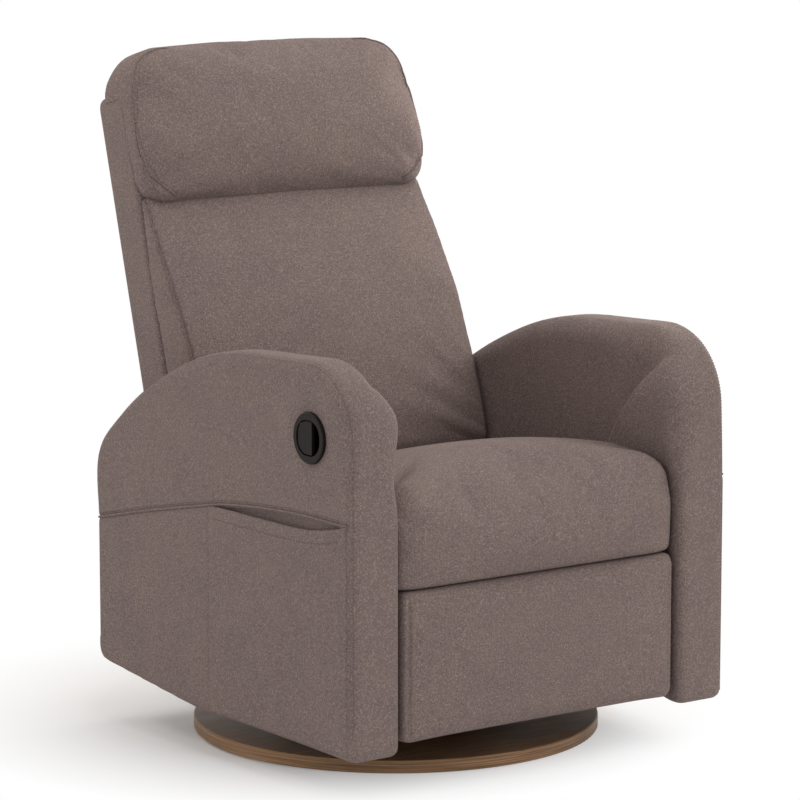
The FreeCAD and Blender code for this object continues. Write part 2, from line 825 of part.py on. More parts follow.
def pivot_stud(pivot, root_x, tip_x):
    """Riveted stud on the outer layer that reaches in through the inner layer, with a flat head."""
    shank = rod_x(tip_x, root_x, -pivot[0], pivot[1], pivot_radius)
    head = rod_x(tip_x - pivot_head_height, tip_x, -pivot[0], pivot[1], pivot_head_radius)
    return shank.fuse(head)


stud_tip = inner_layer[0] - slide_gap


def front_links():
    bar = link_bar(pivot_front, knee, outer_layer)
    bar = pivot_hole(bar, pivot_front, outer_layer)
    for pivot in (knee, upper_knee):
        bar = bar.fuse(pivot_stud(pivot, outer_layer[0], stud_tip))
    return pair(bar.removeSplitter())


def torque_tube():
    half = outer_layer[0]
    return rod_x(-half, half, -pivot_front[0], pivot_front[1], torque_tube_radius)


def rear_links():
    bar = link_bar(pivot_rear, rear_knee, outer_layer)
    bar = pivot_hole(bar, pivot_rear, outer_layer)
    return pair(bar.fuse(pivot_stud(rear_knee, outer_layer[0], stud_tip)).removeSplitter())


def main_links():
    bar = link_bar(rear_knee, toe, inner_layer)
    bar = pivot_hole(bar, knee, inner_layer)
    bar = pivot_hole(bar, rear_knee, inner_layer, open_pivot_gap)
    return pair(pivot_hole(bar, toe, inner_layer))


def footrest_links():
    bar = link_bar(upper_knee, upper_toe, inner_layer)
    bar = pivot_hole(bar, upper_knee, inner_layer)
    return pair(pivot_hole(bar, upper_toe, inner_layer, open_pivot_gap))


def footrest_brackets():
    """Angle bracket: a web that carries both toe pivots and a flange screwed to the board."""
    rim = link_half_width
    points = [
        (board_rear, toe[1] - 2 * rim),
        (board_rear, upper_toe[1] + rim),
        (-upper_toe[0] + rim, upper_toe[1] + rim),
        (-toe[0] + rim, toe[1] + 0.5 * rim),
        (-toe[0] + rim, toe[1] - 2 * rim),
    ]
    web = prism_x(points, [0, 0, 0.5 * rim, 0.5 * rim, 0.5 * rim], *outer_layer)
    flange = box(
        outer_layer[0],
        outer_layer[0] + bracket_flange_width,
        board_rear,
        board_rear + bracket_flange_thickness,
        toe[1] - 2 * rim,
        upper_toe[1] + rim,
    )
    bracket = web.fuse(flange)
    for pivot in (toe, upper_toe):
        bracket = bracket.fuse(pivot_stud(pivot, outer_layer[0], stud_tip))
    return pair(bracket.removeSplitter())


def footrest_board():
    half = footrest_half_width - footrest_board_margin
    low, high = footrest_bottom + footrest_board_margin, footrest_top - footrest_board_margin
    return box(-half, half, board_front, board_rear, low, high)


def footrest_pad():
    sections = []
    for x, draw in cushion_stations(footrest_half_width, footrest_corner_round):
        inset = footrest_draw * draw
        front = footrest_front + inset
        low, high = footrest_bottom + inset, footrest_top - inset
        points = [(board_front, low), (front, low), (front, high), (board_front, high)]
        sections.append((x, points, footrest_rounds))
    return loft_x(sections)


def seat_plate_points():
    nose = seat_deck - plate_nose_height
    rim = back_pivot_rim
    low = pivot_rear[1] - 1.6 * link_half_width
    return [
        (plate_front, nose),
        (plate_front, seat_deck),
        (back_pivot_y - rim, seat_deck),
        (back_pivot_y, back_pivot_z + rim),
        (back_pivot_y + rim, back_pivot_z + rim),
        (back_pivot_y + rim, back_pivot_z - rim),
        (back_pivot_y - rim, back_pivot_z - rim),
        (-pivot_rear[0] + 3 * link_half_width, low),
        (-pivot_rear[0] - link_half_width, low),
        (-pivot_front[0] - 2 * link_half_width, pivot_front[1] - 2 * link_half_width),
    ]


def seat_plate():
    nose, notch, belly, ear = plate_nose_round, plate_notch_round, plate_belly_round, 0.9 * back_pivot_rim
    radii = [nose, nose, notch, notch, ear, ear, belly, belly, belly, belly]
    inside, outside = plate_inside, plate_inside + plate_thickness
    plate = prism_x(seat_plate_points(), radii, inside, outside)
    for pivot in (pivot_front, pivot_rear, (-back_pivot_y, back_pivot_z)):
        plate = pivot_hole(plate, pivot, (inside, outside))
    return plate


def plate_bolt(pivot):
    """Shoulder bolt from outside the seat plate, through the plate and the bar inside it."""
    outside = plate_inside + plate_thickness
    shank = rod_x(outer_layer[0] + slide_gap, outside, -pivot[0], pivot[1], pivot_radius)
    head = rod_x(outside, outside + pivot_head_height, -pivot[0], pivot[1], pivot_head_radius)
    return shank.fuse(head)


def link_pivot_bolts():
    bolts = [plate_bolt(pivot_front), plate_bolt(pivot_rear)]
    return Part.makeCompound(bolts + [mirrored(b) for b in bolts])


def back_pivot_bolts():
    return pair(plate_bolt((-back_pivot_y, back_pivot_z)))


def seat_rail(front):
    bottom = seat_deck - seat_rail_height
    return box(-plate_inside, plate_inside, front, front + seat_rail_depth, bottom, seat_deck)


def seat_webbing():
    straps = []
    for i in range(webbing_count):
        x = (i - 0.5 * (webbing_count - 1)) * webbing_spacing
        half = 0.5 * webbing_width
        front = seat_rail_front + seat_rail_depth
        straps.append(box(x - half, x + half, front, seat_rail_rear, seat_deck - webbing_thickness, seat_deck))
    return Part.makeCompound(straps)


def seat_cushion():
    sections = []
    for x, draw in cushion_stations(seat_half_width, seat_end_round):
        inset = seat_draw * draw
        crown = seat_crown * crown_at(x, seat_half_width)
        apron_rear = seat_front + seat_apron_depth
        nose = seat_front + seat_nose_setback + inset
        foot = seat_apron_bottom + 0.4 * inset
        tail = seat_rear - 0.4 * inset
        points = [
            (apron_rear, foot),
            (nose, foot),
            (seat_front - seat_nose_swell + inset, 0.5 * (seat_apron_bottom + seat_nose_top)),
            (nose, seat_nose_top - inset),
            (seat_crown_share * seat_front, seat_nose_top + crown - inset),
            (tail, seat_rear_top + 0.5 * crown - inset),
            (tail - seat_rear_slant, seat_deck),
            (apron_rear, seat_deck),
        ]
        sections.append((x, points, seat_rounds))
    return loft_x(sections)


# The back stands upright over its pivot first, with depth to the rear and height above the pivot
def back_box(x0, x1, depth0, depth1, height0, height1):
    y, z = back_pivot_y, back_pivot_z
    return box(x0, x1, y + depth0, y + depth1, z + height0, z + height1)


def leaned(shape):
    shape.rotate(Vector(0, back_pivot_y, back_pivot_z), X_AXIS, -back_lean)
    return shape


def back_points(points):
    return [(back_pivot_y + depth, back_pivot_z + height) for depth, height in points]


post_outside = outer_layer[0]
post_rear = shell_rear - shell_rear_wall
post_top = shell_top - shell_side_wall


def back_shell():
    half = shell_half_width
    block = back_box(-half, half, shell_front, shell_rear, shell_rear_bottom, shell_top)
    y_rear, z_top = back_pivot_y + shell_rear, back_pivot_z + shell_top
    soft = []
    for e in block.Edges:
        on_rear = all(abs(v.Y - y_rear) < 1e-4 for v in e.Vertexes)
        on_top = all(abs(v.Z - z_top) < 1e-4 for v in e.Vertexes)
        if (on_rear and min(v.Z for v in e.Vertexes) < z_top) or (on_top and e.BoundBox.XLength < 1):
            soft.append(e)
        elif on_rear and on_top:
            soft.append(e)
    block = block.makeFillet(shell_round, soft)
    block = block.cut(back_box(-half, half, shell_front, post_rear, shell_rear_bottom, shell_bottom))
    half -= shell_side_wall
    block = block.cut(back_box(-half, half, shell_front, post_rear, shell_bottom, post_top))
    return leaned(block)


def back_posts():
    post = back_box(post_outside - post_width, post_outside, shell_front, post_rear, post_bottom, post_top)
    return leaned(pair(post))


def back_rail(bottom):
    half = post_outside - post_width
    return leaned(
        back_box(-half, half, shell_front, shell_front + back_rail_depth, bottom, bottom + back_rail_height)
    )


def back_webbing():
    straps = []
    for i in range(back_webbing_count):
        x = (i - 0.5 * (back_webbing_count - 1)) * back_webbing_spacing
        half = 0.5 * webbing_width
        low = lower_rail_bottom + back_rail_height
        high = post_top - back_rail_height
        straps.append(back_box(x - half, x + half, shell_front, shell_front + webbing_thickness, low, high))
    return leaned(Part.makeCompound(straps))


def back_brackets():
    rim = back_pivot_rim
    front = shell_front + slide_gap
    points = back_points(
        [(-rim, -rim), (-rim, rim), (front, 2 * rim), (front, bracket_height), (rim, bracket_height), (rim, -rim)]
    )
    radii = [0.9 * rim] + 4 * [bracket_corner_round] + [0.9 * rim]
    plate = prism_x(points, radii, *outer_layer)
    plate = pivot_hole(plate, (-back_pivot_y, back_pivot_z), outer_layer)
    return leaned(pair(plate))


def back_cushion():
    sections = []
    for x, draw in cushion_stations(back_cushion_half_width, back_cushion_end_round):
        inset = back_cushion_draw * draw
        crown = back_cushion_crown * crown_at(x, back_cushion_half_width)
        points = back_points(
            [
                (shell_front, back_cushion_bottom + back_cushion_rear_lift),
                (-back_cushion_low_depth + inset, back_cushion_bottom + inset),
                (-back_cushion_waist_depth - crown + inset, back_cushion_waist),
                (-back_cushion_top_depth + 0.5 * inset, back_cushion_top - 0.5 * inset),
                (shell_front, back_cushion_top - 0.5 * inset),
            ]
        )
        sections.append((x, points, back_cushion_rounds))
    return leaned(loft_x(sections))


def head_pillow():
    sections = []
    for x, draw in cushion_stations(pillow_half_width, pillow_end_round):
        inset = pillow_draw * draw
        crown = pillow_crown * crown_at(x, pillow_half_width)
        middle = 0.5 * (pillow_bottom + pillow_top)
        chin = pillow_bottom + 0.3 * inset
        points = back_points(
            [
                (shell_front, chin),
                (-pillow_front_depth + pillow_chin_setback + inset, chin),
                (-pillow_front_depth - crown + inset, middle - pillow_bulge_drop),
                (-pillow_top_share * pillow_front_depth + 0.5 * inset, pillow_top - inset),
                (pillow_rear_depth, pillow_top - inset),
                (pillow_rear_depth, shell_top),
                (shell_front, shell_top),
            ]
        )
        sections.append((x, points, pillow_rounds))
    return leaned(loft_x(sections))


def arm_nodes():
    """Both arms: wooden box, padded cover and pocket on each side."""
    inner = arm_panel(inner_panel_x, hollow_inside)
    outer = arm_panel(outer_panel_x, outer_panel_x + outer_panel_thickness)
    front = arm_front + padding_edge
    rear = arm_rear - padding_edge
    bored = outer.cut(cup_bore(padding_outer + outer_panel_thickness))
    return {
        "arm_inner_panels": pair(inner),
        "arm_outer_panels": Part.makeCompound([outer, mirrored(bored)]),
        "arm_front_posts": pair(arm_post(front, front + arm_post_depth)),
        "arm_rear_posts": pair(arm_post(rear - arm_post_depth, rear)),
        "arm_cover_left": arm_cover(False),
        "arm_cover_right": mirrored(arm_cover(True)),
        "side_pocket_left": pocket_panel(),
        "side_pocket_right": mirrored(pocket_panel()),
    }


def all_nodes():
    nodes = {
        "base_disc": base_disc(),
        "floor_glides": floor_glides(),
        "lower_swivel_plate": lower_swivel_plate(),
        "swivel_balls": swivel_balls(),
        "swivel_bolt": swivel_bolt(),
        "plate_screws": plate_screws(),
        "upper_swivel_plate": upper_swivel_plate(),
        "rocker_ears": rocker_ears(),
        "rocker_shaft": rocker_shaft(),
        "rocker_springs_front": rocker_springs(-1),
        "rocker_springs_rear": rocker_springs(1),
        "bearing_blocks": bearing_blocks(),
        "chassis_rails": chassis_rails(),
        "front_cross_tube": cross_tube(front_tube_y),
        "rear_cross_tube": cross_tube(rear_tube_y),
        "rear_skirt": rear_skirt(),
        "seat_tracks": seat_track(),
        "handle_surround": mirrored(handle_surround()),
        "latch_box": mirrored(latch_box()),
        "release_cable": mirrored(release_cable()),
        "release_paddle": mirrored(release_paddle()),
        "paddle_pin": mirrored(paddle_pin()),
        "seat_plate_left": seat_plate(),
        "seat_plate_right": mirrored(seat_plate()),
        "seat_runners": seat_runner(),
        "front_seat_rail": seat_rail(seat_rail_front),
        "rear_seat_rail": seat_rail(seat_rail_rear),
        "seat_webbing": seat_webbing(),
        "seat_cushion": seat_cushion(),
        "link_pivot_bolts": link_pivot_bolts(),
        "back_pivot_bolts": back_pivot_bolts(),
        "front_links": front_links(),
        "torque_tube": torque_tube(),
        "rear_links": rear_links(),
        "main_links": main_links(),
        "footrest_links": footrest_links(),
        "footrest_brackets": footrest_brackets(),
        "footrest_board": footrest_board(),
        "footrest_pad": footrest_pad(),
        "back_shell": back_shell(),
        "back_posts": back_posts(),
        "top_back_rail": back_rail(post_top - back_rail_height),
        "lower_back_rail": back_rail(lower_rail_bottom),
        "back_webbing": back_webbing(),
        "back_brackets": back_brackets(),
        "back_cushion": back_cushion(),
        "head_pillow": head_pillow(),
    }
    nodes.update(arm_nodes())
    return nodes


def main():
    os.makedirs("parts", exist_ok=True)
    for name, shape in all_nodes().items():
        if not shape.isValid():
            print("not valid:", name)
        bounds = shape.optimalBoundingBox()
        print(name, len(shape.Solids), [round(v, 1) for v in (bounds.XMin, bounds.XMax, bounds.YMin, bounds.YMax)],
              round(bounds.ZMin, 1), round(bounds.ZMax, 1), round(shape.Volume / 1000, 1), "cm3")
        shape.exportStep(os.path.join("parts", name + ".step"))


main()
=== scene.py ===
"""Looks of the swivel rocker recliner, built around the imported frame.

Sizes are in millimetres and are scaled to metres when a mesh is made. The chair faces -Y and stands on z = 0.
"""
import json
import math

import bpy
import numpy as np
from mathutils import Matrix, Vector
from mathutils.bvhtree import BVHTree
from mathutils.kdtree import KDTree


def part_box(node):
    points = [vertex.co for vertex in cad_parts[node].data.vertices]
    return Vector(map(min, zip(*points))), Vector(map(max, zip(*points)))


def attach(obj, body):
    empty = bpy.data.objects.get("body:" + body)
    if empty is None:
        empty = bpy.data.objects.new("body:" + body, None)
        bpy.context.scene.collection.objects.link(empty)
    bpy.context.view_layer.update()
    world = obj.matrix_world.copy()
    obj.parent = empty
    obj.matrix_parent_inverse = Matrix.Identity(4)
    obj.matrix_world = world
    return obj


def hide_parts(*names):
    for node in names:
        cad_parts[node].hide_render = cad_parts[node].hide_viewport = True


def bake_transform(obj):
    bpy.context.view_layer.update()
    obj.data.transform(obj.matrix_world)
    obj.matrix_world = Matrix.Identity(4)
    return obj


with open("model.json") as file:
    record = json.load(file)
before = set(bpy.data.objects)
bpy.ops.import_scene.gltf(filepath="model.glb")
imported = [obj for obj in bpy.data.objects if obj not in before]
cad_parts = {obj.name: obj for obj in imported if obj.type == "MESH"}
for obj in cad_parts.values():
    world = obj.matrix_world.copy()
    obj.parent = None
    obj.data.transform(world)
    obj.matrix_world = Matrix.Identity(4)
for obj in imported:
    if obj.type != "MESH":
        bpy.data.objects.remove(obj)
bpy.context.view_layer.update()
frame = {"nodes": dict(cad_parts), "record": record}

MM = 0.001
scene = bpy.context.scene

# Sizes that the pieces share with the CAD nodes
ARM_INSIDE, ARM_OUTSIDE = 267.0, 349.0
ARM_FRONT, ARM_REAR, ARM_SKIRT = -366.0, 302.0, 69.0
PIVOT_Y, PIVOT_Z, LEAN = 190.0, 330.0, math.radians(15.3)

VOXEL = 5.0
RELAX_RETURN = 0.96  # share of each evening step that the next one takes back, so that forms keep their size


# Mesh helpers

def add_mesh(name, points, faces):
    mesh = bpy.data.meshes.new(name)
    mesh.from_pydata((np.asarray(points, float) * MM).tolist(), [], faces)
    mesh.validate()
    mesh.shade_smooth()
    piece = bpy.data.objects.new(name, mesh)
    scene.collection.objects.link(piece)
    return piece


def points_of(piece):
    flat = np.empty(3 * len(piece.data.vertices))
    piece.data.vertices.foreach_get("co", flat)
    return flat.reshape(-1, 3) / MM


def normals_of(piece):
    flat = np.empty(3 * len(piece.data.vertices), np.float32)
    piece.data.vertex_normals.foreach_get("vector", flat)
    return flat.reshape(-1, 3).astype(float)


def set_points(piece, points):
    piece.data.vertices.foreach_set("co", (points * MM).ravel())
    piece.data.update()


def edges_of(piece):
    flat = np.empty(2 * len(piece.data.edges), int)
    piece.data.edges.foreach_get("vertices", flat)
    return flat.reshape(-1, 2)


def apply_modifiers(piece):
    """Replaces the piece's mesh by what its modifiers make of it."""
    graph = bpy.context.evaluated_depsgraph_get()
    made = bpy.data.meshes.new_from_object(piece.evaluated_get(graph))
    old = piece.data
    piece.modifiers.clear()
    piece.data = made
    bpy.data.meshes.remove(old)
    piece.data.shade_smooth()


def voxel_remesh(piece, size=VOXEL):
    modifier = piece.modifiers.new("Remesh", "REMESH")
    modifier.mode = "VOXEL"
    modifier.voxel_size = size * MM
    apply_modifiers(piece)


def subdivide(piece):
    modifier = piece.modifiers.new("Subdivision", "SUBSURF")
    modifier.levels = modifier.render_levels = 1
    apply_modifiers(piece)


def relax(piece, rounds, share=0.5):
    """Evens the surface out: each point moves toward its neighbours' mean, then back by almost as much."""
    points = points_of(piece)
    edges = edges_of(piece)
    count = np.bincount(edges.ravel(), minlength=len(points))[:, None]
    for step in range(rounds):
        total = np.zeros_like(points)
        for axis in range(3):
            total[:, axis] += np.bincount(edges[:, 0], points[edges[:, 1], axis], len(points))
            total[:, axis] += np.bincount(edges[:, 1], points[edges[:, 0], axis], len(points))
        pull = total / np.maximum(count, 1) - points
        points = points + pull * (share if step % 2 == 0 else -RELAX_RETURN * share)
    set_points(piece, points)


def corner_round(points, radii, corner_steps=8, run_steps=10):
    """Closed outline with rounded corners: as many points for every corner and run, whatever its size."""
    points = np.asarray(points, float)
    count = len(points)
    corners = []
    for i in range(count):
        here, before, after = points[i], points[i - 1], points[(i + 1) % count]
        back, on = before - here, after - here
        room = 0.48 * min(np.linalg.norm(back), np.linalg.norm(on))
        back, on = back / np.linalg.norm(back), on / np.linalg.norm(on)
        half = 0.5 * math.acos(np.clip(back @ on, -1, 1))
        reach = min(radii[i] / math.tan(half), room)
        radius = reach * math.tan(half)
        inward = (back + on) / np.linalg.norm(back + on)
        centre = here + inward * radius / math.sin(half)
        start, end = here + back * reach - centre, here + on * reach - centre
        sweep = math.pi - 2 * half
        arc = []
        for t in np.linspace(0, 1, corner_steps):
            mix = (math.sin((1 - t) * sweep) * start + math.sin(t * sweep) * end) / max(math.sin(sweep), 1e-9)
            arc.append(centre + mix)
        corners.append(arc)
    outline = []
    for i, arc in enumerate(corners):
        outline += arc
        first = corners[(i + 1) % count][0]
        for t in np.linspace(0, 1, run_steps + 2)[1:-1]:
            outline.append(arc[-1] * (1 - t) + first * t)
    return np.array(outline)


def inset_outline(points, distance):
    """Moves every run of a clockwise outline inward."""
    points = np.asarray(points, float)
    result = []
    for i in range(len(points)):
        a = points[i] - points[i - 1]
        b = points[(i + 1) % len(points)] - points[i]
        a, b = a / np.linalg.norm(a), b / np.linalg.norm(b)
        turn = a + b
        result.append(points[i] + np.array([turn[1], -turn[0]]) / (1 + a @ b) * distance)
    return np.array(result)


def loft(name, sections):
    """Closed mesh through loops that have as many points each."""
    loops = np.array(sections)
    rows, cols = loops.shape[:2]
    faces = []
    for r in range(rows - 1):
        for c in range(cols):
            d = (c + 1) % cols
            faces.append((r * cols + c, r * cols + d, (r + 1) * cols + d, (r + 1) * cols + c))
    points = list(loops.reshape(-1, 3))
    for row, flip in ((0, True), (rows - 1, False)):
        middle = len(points)
        points.append(loops[row].mean(axis=0))
        for c in range(cols):
            pair = (row * cols + c, row * cols + (c + 1) % cols)
            faces.append((pair[1], pair[0], middle) if flip else (pair[0], pair[1], middle))
    return add_mesh(name, points, faces)


def side_loop(x, outline):
    """An outline of (y, z) points as a loop at one x."""
    return np.column_stack([np.full(len(outline), x), outline])


def smoothstep(low, high, value):
    """0 below low, 1 above high, and a soft rise between them."""
    t = np.clip((value - low) / (high - low), 0, 1)
    return t * t * (3 - 2 * t)


def quarter_round(t):
    """How far a quarter circle has dropped after t of its radius: 0 at its crest, 1 at its end."""
    return 1 - math.sqrt(max(0.0, 1 - min(1.0, t) ** 2))


def back_place(points):
    """(x, depth, height) in the back's own upright frame over its pivot, leaned into place."""
    p = np.atleast_2d(np.asarray(points, float))
    y = PIVOT_Y + p[:, 1] * math.cos(LEAN) + p[:, 2] * math.sin(LEAN)
    z = PIVOT_Z + p[:, 2] * math.cos(LEAN) - p[:, 1] * math.sin(LEAN)
    return np.column_stack([p[:, 0], y, z])


def back_local(points):
    """The way back from back_place."""
    y, z = points[:, 1] - PIVOT_Y, points[:, 2] - PIVOT_Z
    depth = y * math.cos(LEAN) - z * math.sin(LEAN)
    height = y * math.sin(LEAN) + z * math.cos(LEAN)
    return np.column_stack([points[:, 0], depth, height])


def back_level(outline, height):
    """An outline of (x, depth) points as a loop across the back at one height."""
    return back_place(np.column_stack([outline[:, 0], outline[:, 1], np.full(len(outline), height)]))


# Soft forms

def dense(line, step=1.5):
    """The same polyline with points close together."""
    line = np.asarray(line, float)
    result = [line[:1]]
    for a, b in zip(line, line[1:]):
        n = max(1, int(np.linalg.norm(b - a) / step))
        result.append(a + (b - a) * np.linspace(0, 1, n + 1)[1:, None])
    return np.vstack(result)


def curve_through(points, count=60):
    """A smooth line through a few points."""
    points = np.asarray(points, float)
    padded = np.vstack([2 * points[0] - points[1], points, 2 * points[-1] - points[-2]])
    result = []
    per = max(2, count // (len(points) - 1))
    for i in range(1, len(padded) - 2):
        p0, p1, p2, p3 = padded[i - 1 : i + 3]
        square, cube = 2 * p0 - 5 * p1 + 4 * p2 - p3, 3 * p1 - p0 - 3 * p2 + p3
        for t in np.linspace(0, 1, per, endpoint=False):
            result.append(0.5 * (2 * p1 + (p2 - p0) * t + square * t**2 + cube * t**3))
    result.append(points[-1])
    return np.array(result)


def distance_to(points, line, reach):
    """Distance of every point from a polyline, or reach where it is farther."""
    line = dense(line)
    tree = KDTree(len(line))
    for i, p in enumerate(line):
        tree.insert(p, i)
    tree.balance()
    result = np.full(len(points), reach)
    near = np.all((points > line.min(axis=0) - reach) & (points < line.max(axis=0) + reach), axis=1)
    for i in np.nonzero(near)[0]:
        result[i] = min(reach, tree.find(points[i])[2])
    return result


def press_seams(piece, seams, depth, width):
    """Pulls the surface in along seam lines."""
    points = points_of(piece)
    move = np.zeros(len(points))
    for line in seams:
        d = distance_to(points, line, 4 * width)
        move = np.maximum(move, depth * np.exp(-((d / width) ** 2)))
    set_points(piece, points - normals_of(piece) * move[:, None])


CLOTH_FRAMES = 20
SEAM_HOLD = 4.0  # points this close to a seam hold while the cloth swells
SEAM_DEPTH, SEAM_WIDTH = 2.8, 4.0


def swell(piece, held, pressure, cap):
    """Cloth under inner pressure, with the held points pinned and every move capped, applied to the mesh."""
    start = points_of(piece)
    group = piece.vertex_groups.new(name="held")
    group.add(np.nonzero(held)[0].tolist(), 1.0, "REPLACE")
    modifier = piece.modifiers.new("Cloth", "CLOTH")
    settings = modifier.settings
    settings.quality = 4
    settings.mass = 0.3
    settings.tension_stiffness = settings.compression_stiffness = 25
    settings.bending_stiffness = 2.0
    settings.use_pressure = True
    settings.uniform_pressure_force = pressure
    settings.vertex_group_mass = "held"
    settings.effector_weights.gravity = 0
    modifier.point_cache.frame_start = 1
    modifier.point_cache.frame_end = CLOTH_FRAMES
    for number in range(1, CLOTH_FRAMES + 1):
        scene.frame_set(number)
    apply_modifiers(piece)
    scene.frame_set(1)
    piece.vertex_groups.clear()
    moved = points_of(piece) - start
    far = np.linalg.norm(moved, axis=1, keepdims=True)
    set_points(piece, start + moved * np.minimum(1, cap / np.maximum(far, 1e-6)))


def cushion(piece, seams, rest, cap, pressure=4.0):
    """Turns a rough form into a stuffed one: seams and resting faces hold, the panels between them swell."""
    voxel_remesh(piece)
    relax(piece, 10)
    points = points_of(piece)
    held = rest(points)
    for line in seams:
        held = held | (distance_to(points, line, 3 * SEAM_HOLD) < SEAM_HOLD)
    swell(piece, held, pressure, cap)
    relax(piece, 6)
    subdivide(piece)
    press_seams(piece, seams, SEAM_DEPTH, SEAM_WIDTH)


def surface_tree(piece):
    """For finding the nearest place on the piece."""
    return BVHTree.FromPolygons(
        points_of(piece).tolist(), [tuple(p.vertices) for p in piece.data.polygons], all_triangles=False
    )


def on_surface(tree, points):
    """Nearest surface points and normals."""
    places, normals = [], []
    for p in points:
        place, normal, _, _ = tree.find_nearest(Vector(p))
        places.append(place)
        normals.append(normal)
    return np.array(places), np.array(normals)


def tube(name, line, radius, sides=8):
    """Round cord along a line, in one mesh with closed ends."""
    line = np.asarray(line, float)
    along = np.gradient(line, axis=0)
    along /= np.linalg.norm(along, axis=1, keepdims=True)
    side = np.cross(along, [0.31, 0.17, 0.93])
    side /= np.linalg.norm(side, axis=1, keepdims=True)
    up = np.cross(along, side)
    turns = np.linspace(0, 2 * math.pi, sides, endpoint=False)
    rings = []
    for p, s, u in zip(line, side, up):
        rings.append([p + radius * (math.cos(t) * s + math.sin(t) * u) for t in turns])
    return loft(name, rings)


def mirror(piece):
    """Turns a piece of the left side into one of the right."""
    points = points_of(piece)
    points[:, 0] *= -1
    set_points(piece, points)
    piece.data.flip_normals()


FINE_WELT = (1.1, 0.3)  # radius, and how much of it is sunk
ARM_WELT = (1.7, 0.4)


def welt(name, tree, line, radius, sink):
    """Raised seam roll that follows the surface."""
    places, normals = on_surface(tree, dense(line, 4.0))
    return tube(name, places + normals * (radius - sink), radius)


def stitch_row(name, tree, line, pitch=5.0, length=3.4, radius=0.42):
    """A row of separate stitches that lie on the surface."""
    line = dense(line, 0.5)
    steps = np.concatenate([[0], np.cumsum(np.linalg.norm(np.diff(line, axis=0), axis=1))])
    starts = np.arange(0.5 * pitch, steps[-1] - pitch, pitch)
    pick = np.column_stack([np.interp(starts, steps, line[:, k]) for k in range(3)])
    ahead = np.column_stack([np.interp(starts + length, steps, line[:, k]) for k in range(3)])
    a, na = on_surface(tree, pick)
    b, nb = on_surface(tree, ahead)
    sides = 5
    # Place along the stitch, lift and share of the radius
    rings = ((0, -0.2, 0.4), (0.2, 0.25, 1.0), (0.8, 0.25, 1.0), (1.0, -0.2, 0.4))
    points, faces = [], []
    for p, q, n, m in zip(a, b, na, nb):
        run = (q - p) / max(np.linalg.norm(q - p), 1e-6)
        side = np.cross(run, n)
        base = len(points)
        for t, lift, size in rings:
            middle = p + (q - p) * t + (n * (1 - t) + m * t) * lift
            for turn in range(sides):
                angle = 2 * math.pi * turn / sides
                points.append(middle + radius * size * (math.cos(angle) * side + math.sin(angle) * n))
        for ring in range(len(rings) - 1):
            for turn in range(sides):
                i, j = base + sides * ring + turn, base + sides * ring + (turn + 1) % sides
                faces.append((i, j, j + sides, i + sides))
        faces.append(tuple(base + k for k in range(sides - 1, -1, -1)))
        faces.append(tuple(base + sides * (len(rings) - 1) + k for k in range(sides)))
    return add_mesh(name, points, faces)


# Materials

class Nodes:
    """Short calls for building one material's nodes."""

    def __init__(self, name):
        self.material = bpy.data.materials.new(name)
        self.material.use_nodes = True
        self.tree = self.material.node_tree
        self.shader = self.tree.nodes["Principled BSDF"]
        coordinates = self.tree.nodes.new("ShaderNodeTexCoord")
        self.place = coordinates.outputs["Object"]
        self.facing = coordinates.outputs["Normal"]

    def add(self, kind, **inputs):
        node = self.tree.nodes.new("ShaderNode" + kind)
        for key, value in inputs.items():
            socket = node.inputs[key.replace("_", " ")]
            if isinstance(value, bpy.types.NodeSocket):
                self.tree.links.new(value, socket)
            else:
                socket.default_value = value
        return node

    def link(self, output, key):
        self.tree.links.new(output, self.shader.inputs[key])

    def noise(self, scale, detail=2.0, roughness=0.5, place=None):
        place = place or self.place
        node = self.add("TexNoise", Scale=scale, Detail=detail, Roughness=roughness, Vector=place)
        return node.outputs["Fac"]

    def span(self, value, low, high, to_low=0.0, to_high=1.0):
        node = self.add("MapRange", Value=value)
        for key, number in zip(("From Min", "From Max", "To Min", "To Max"), (low, high, to_low, to_high)):
            node.inputs[key].default_value = number
        return node.outputs["Result"]

    def mix(self, share, first, second, blend="MIX"):
        node = self.tree.nodes.new("ShaderNodeMix")
        node.data_type = "RGBA"
        node.blend_type = blend
        for socket, value in ((node.inputs[0], share), (node.inputs[6], first), (node.inputs[7], second)):
            if isinstance(value, bpy.types.NodeSocket):
                self.tree.links.new(value, socket)
            else:
                socket.default_value = value
        return node.outputs[2]

    def bump(self, height, strength, distance, under=None):
        node = self.add("Bump", Strength=strength, Distance=distance, Height=height)
        if under:
            self.tree.links.new(under, node.inputs["Normal"])
        return node.outputs["Normal"]


def colour(red, green, blue):
    """Linear colour from screen values of 0 to 255."""
    linear = []
    for v in (red / 255, green / 255, blue / 255):
        linear.append(v / 12.92 if v <= 0.04045 else ((v + 0.055) / 1.055) ** 2.4)
    return (*linear, 1.0)


def darker(tone, share):
    return tuple(share * c for c in tone[:3]) + (1.0,)


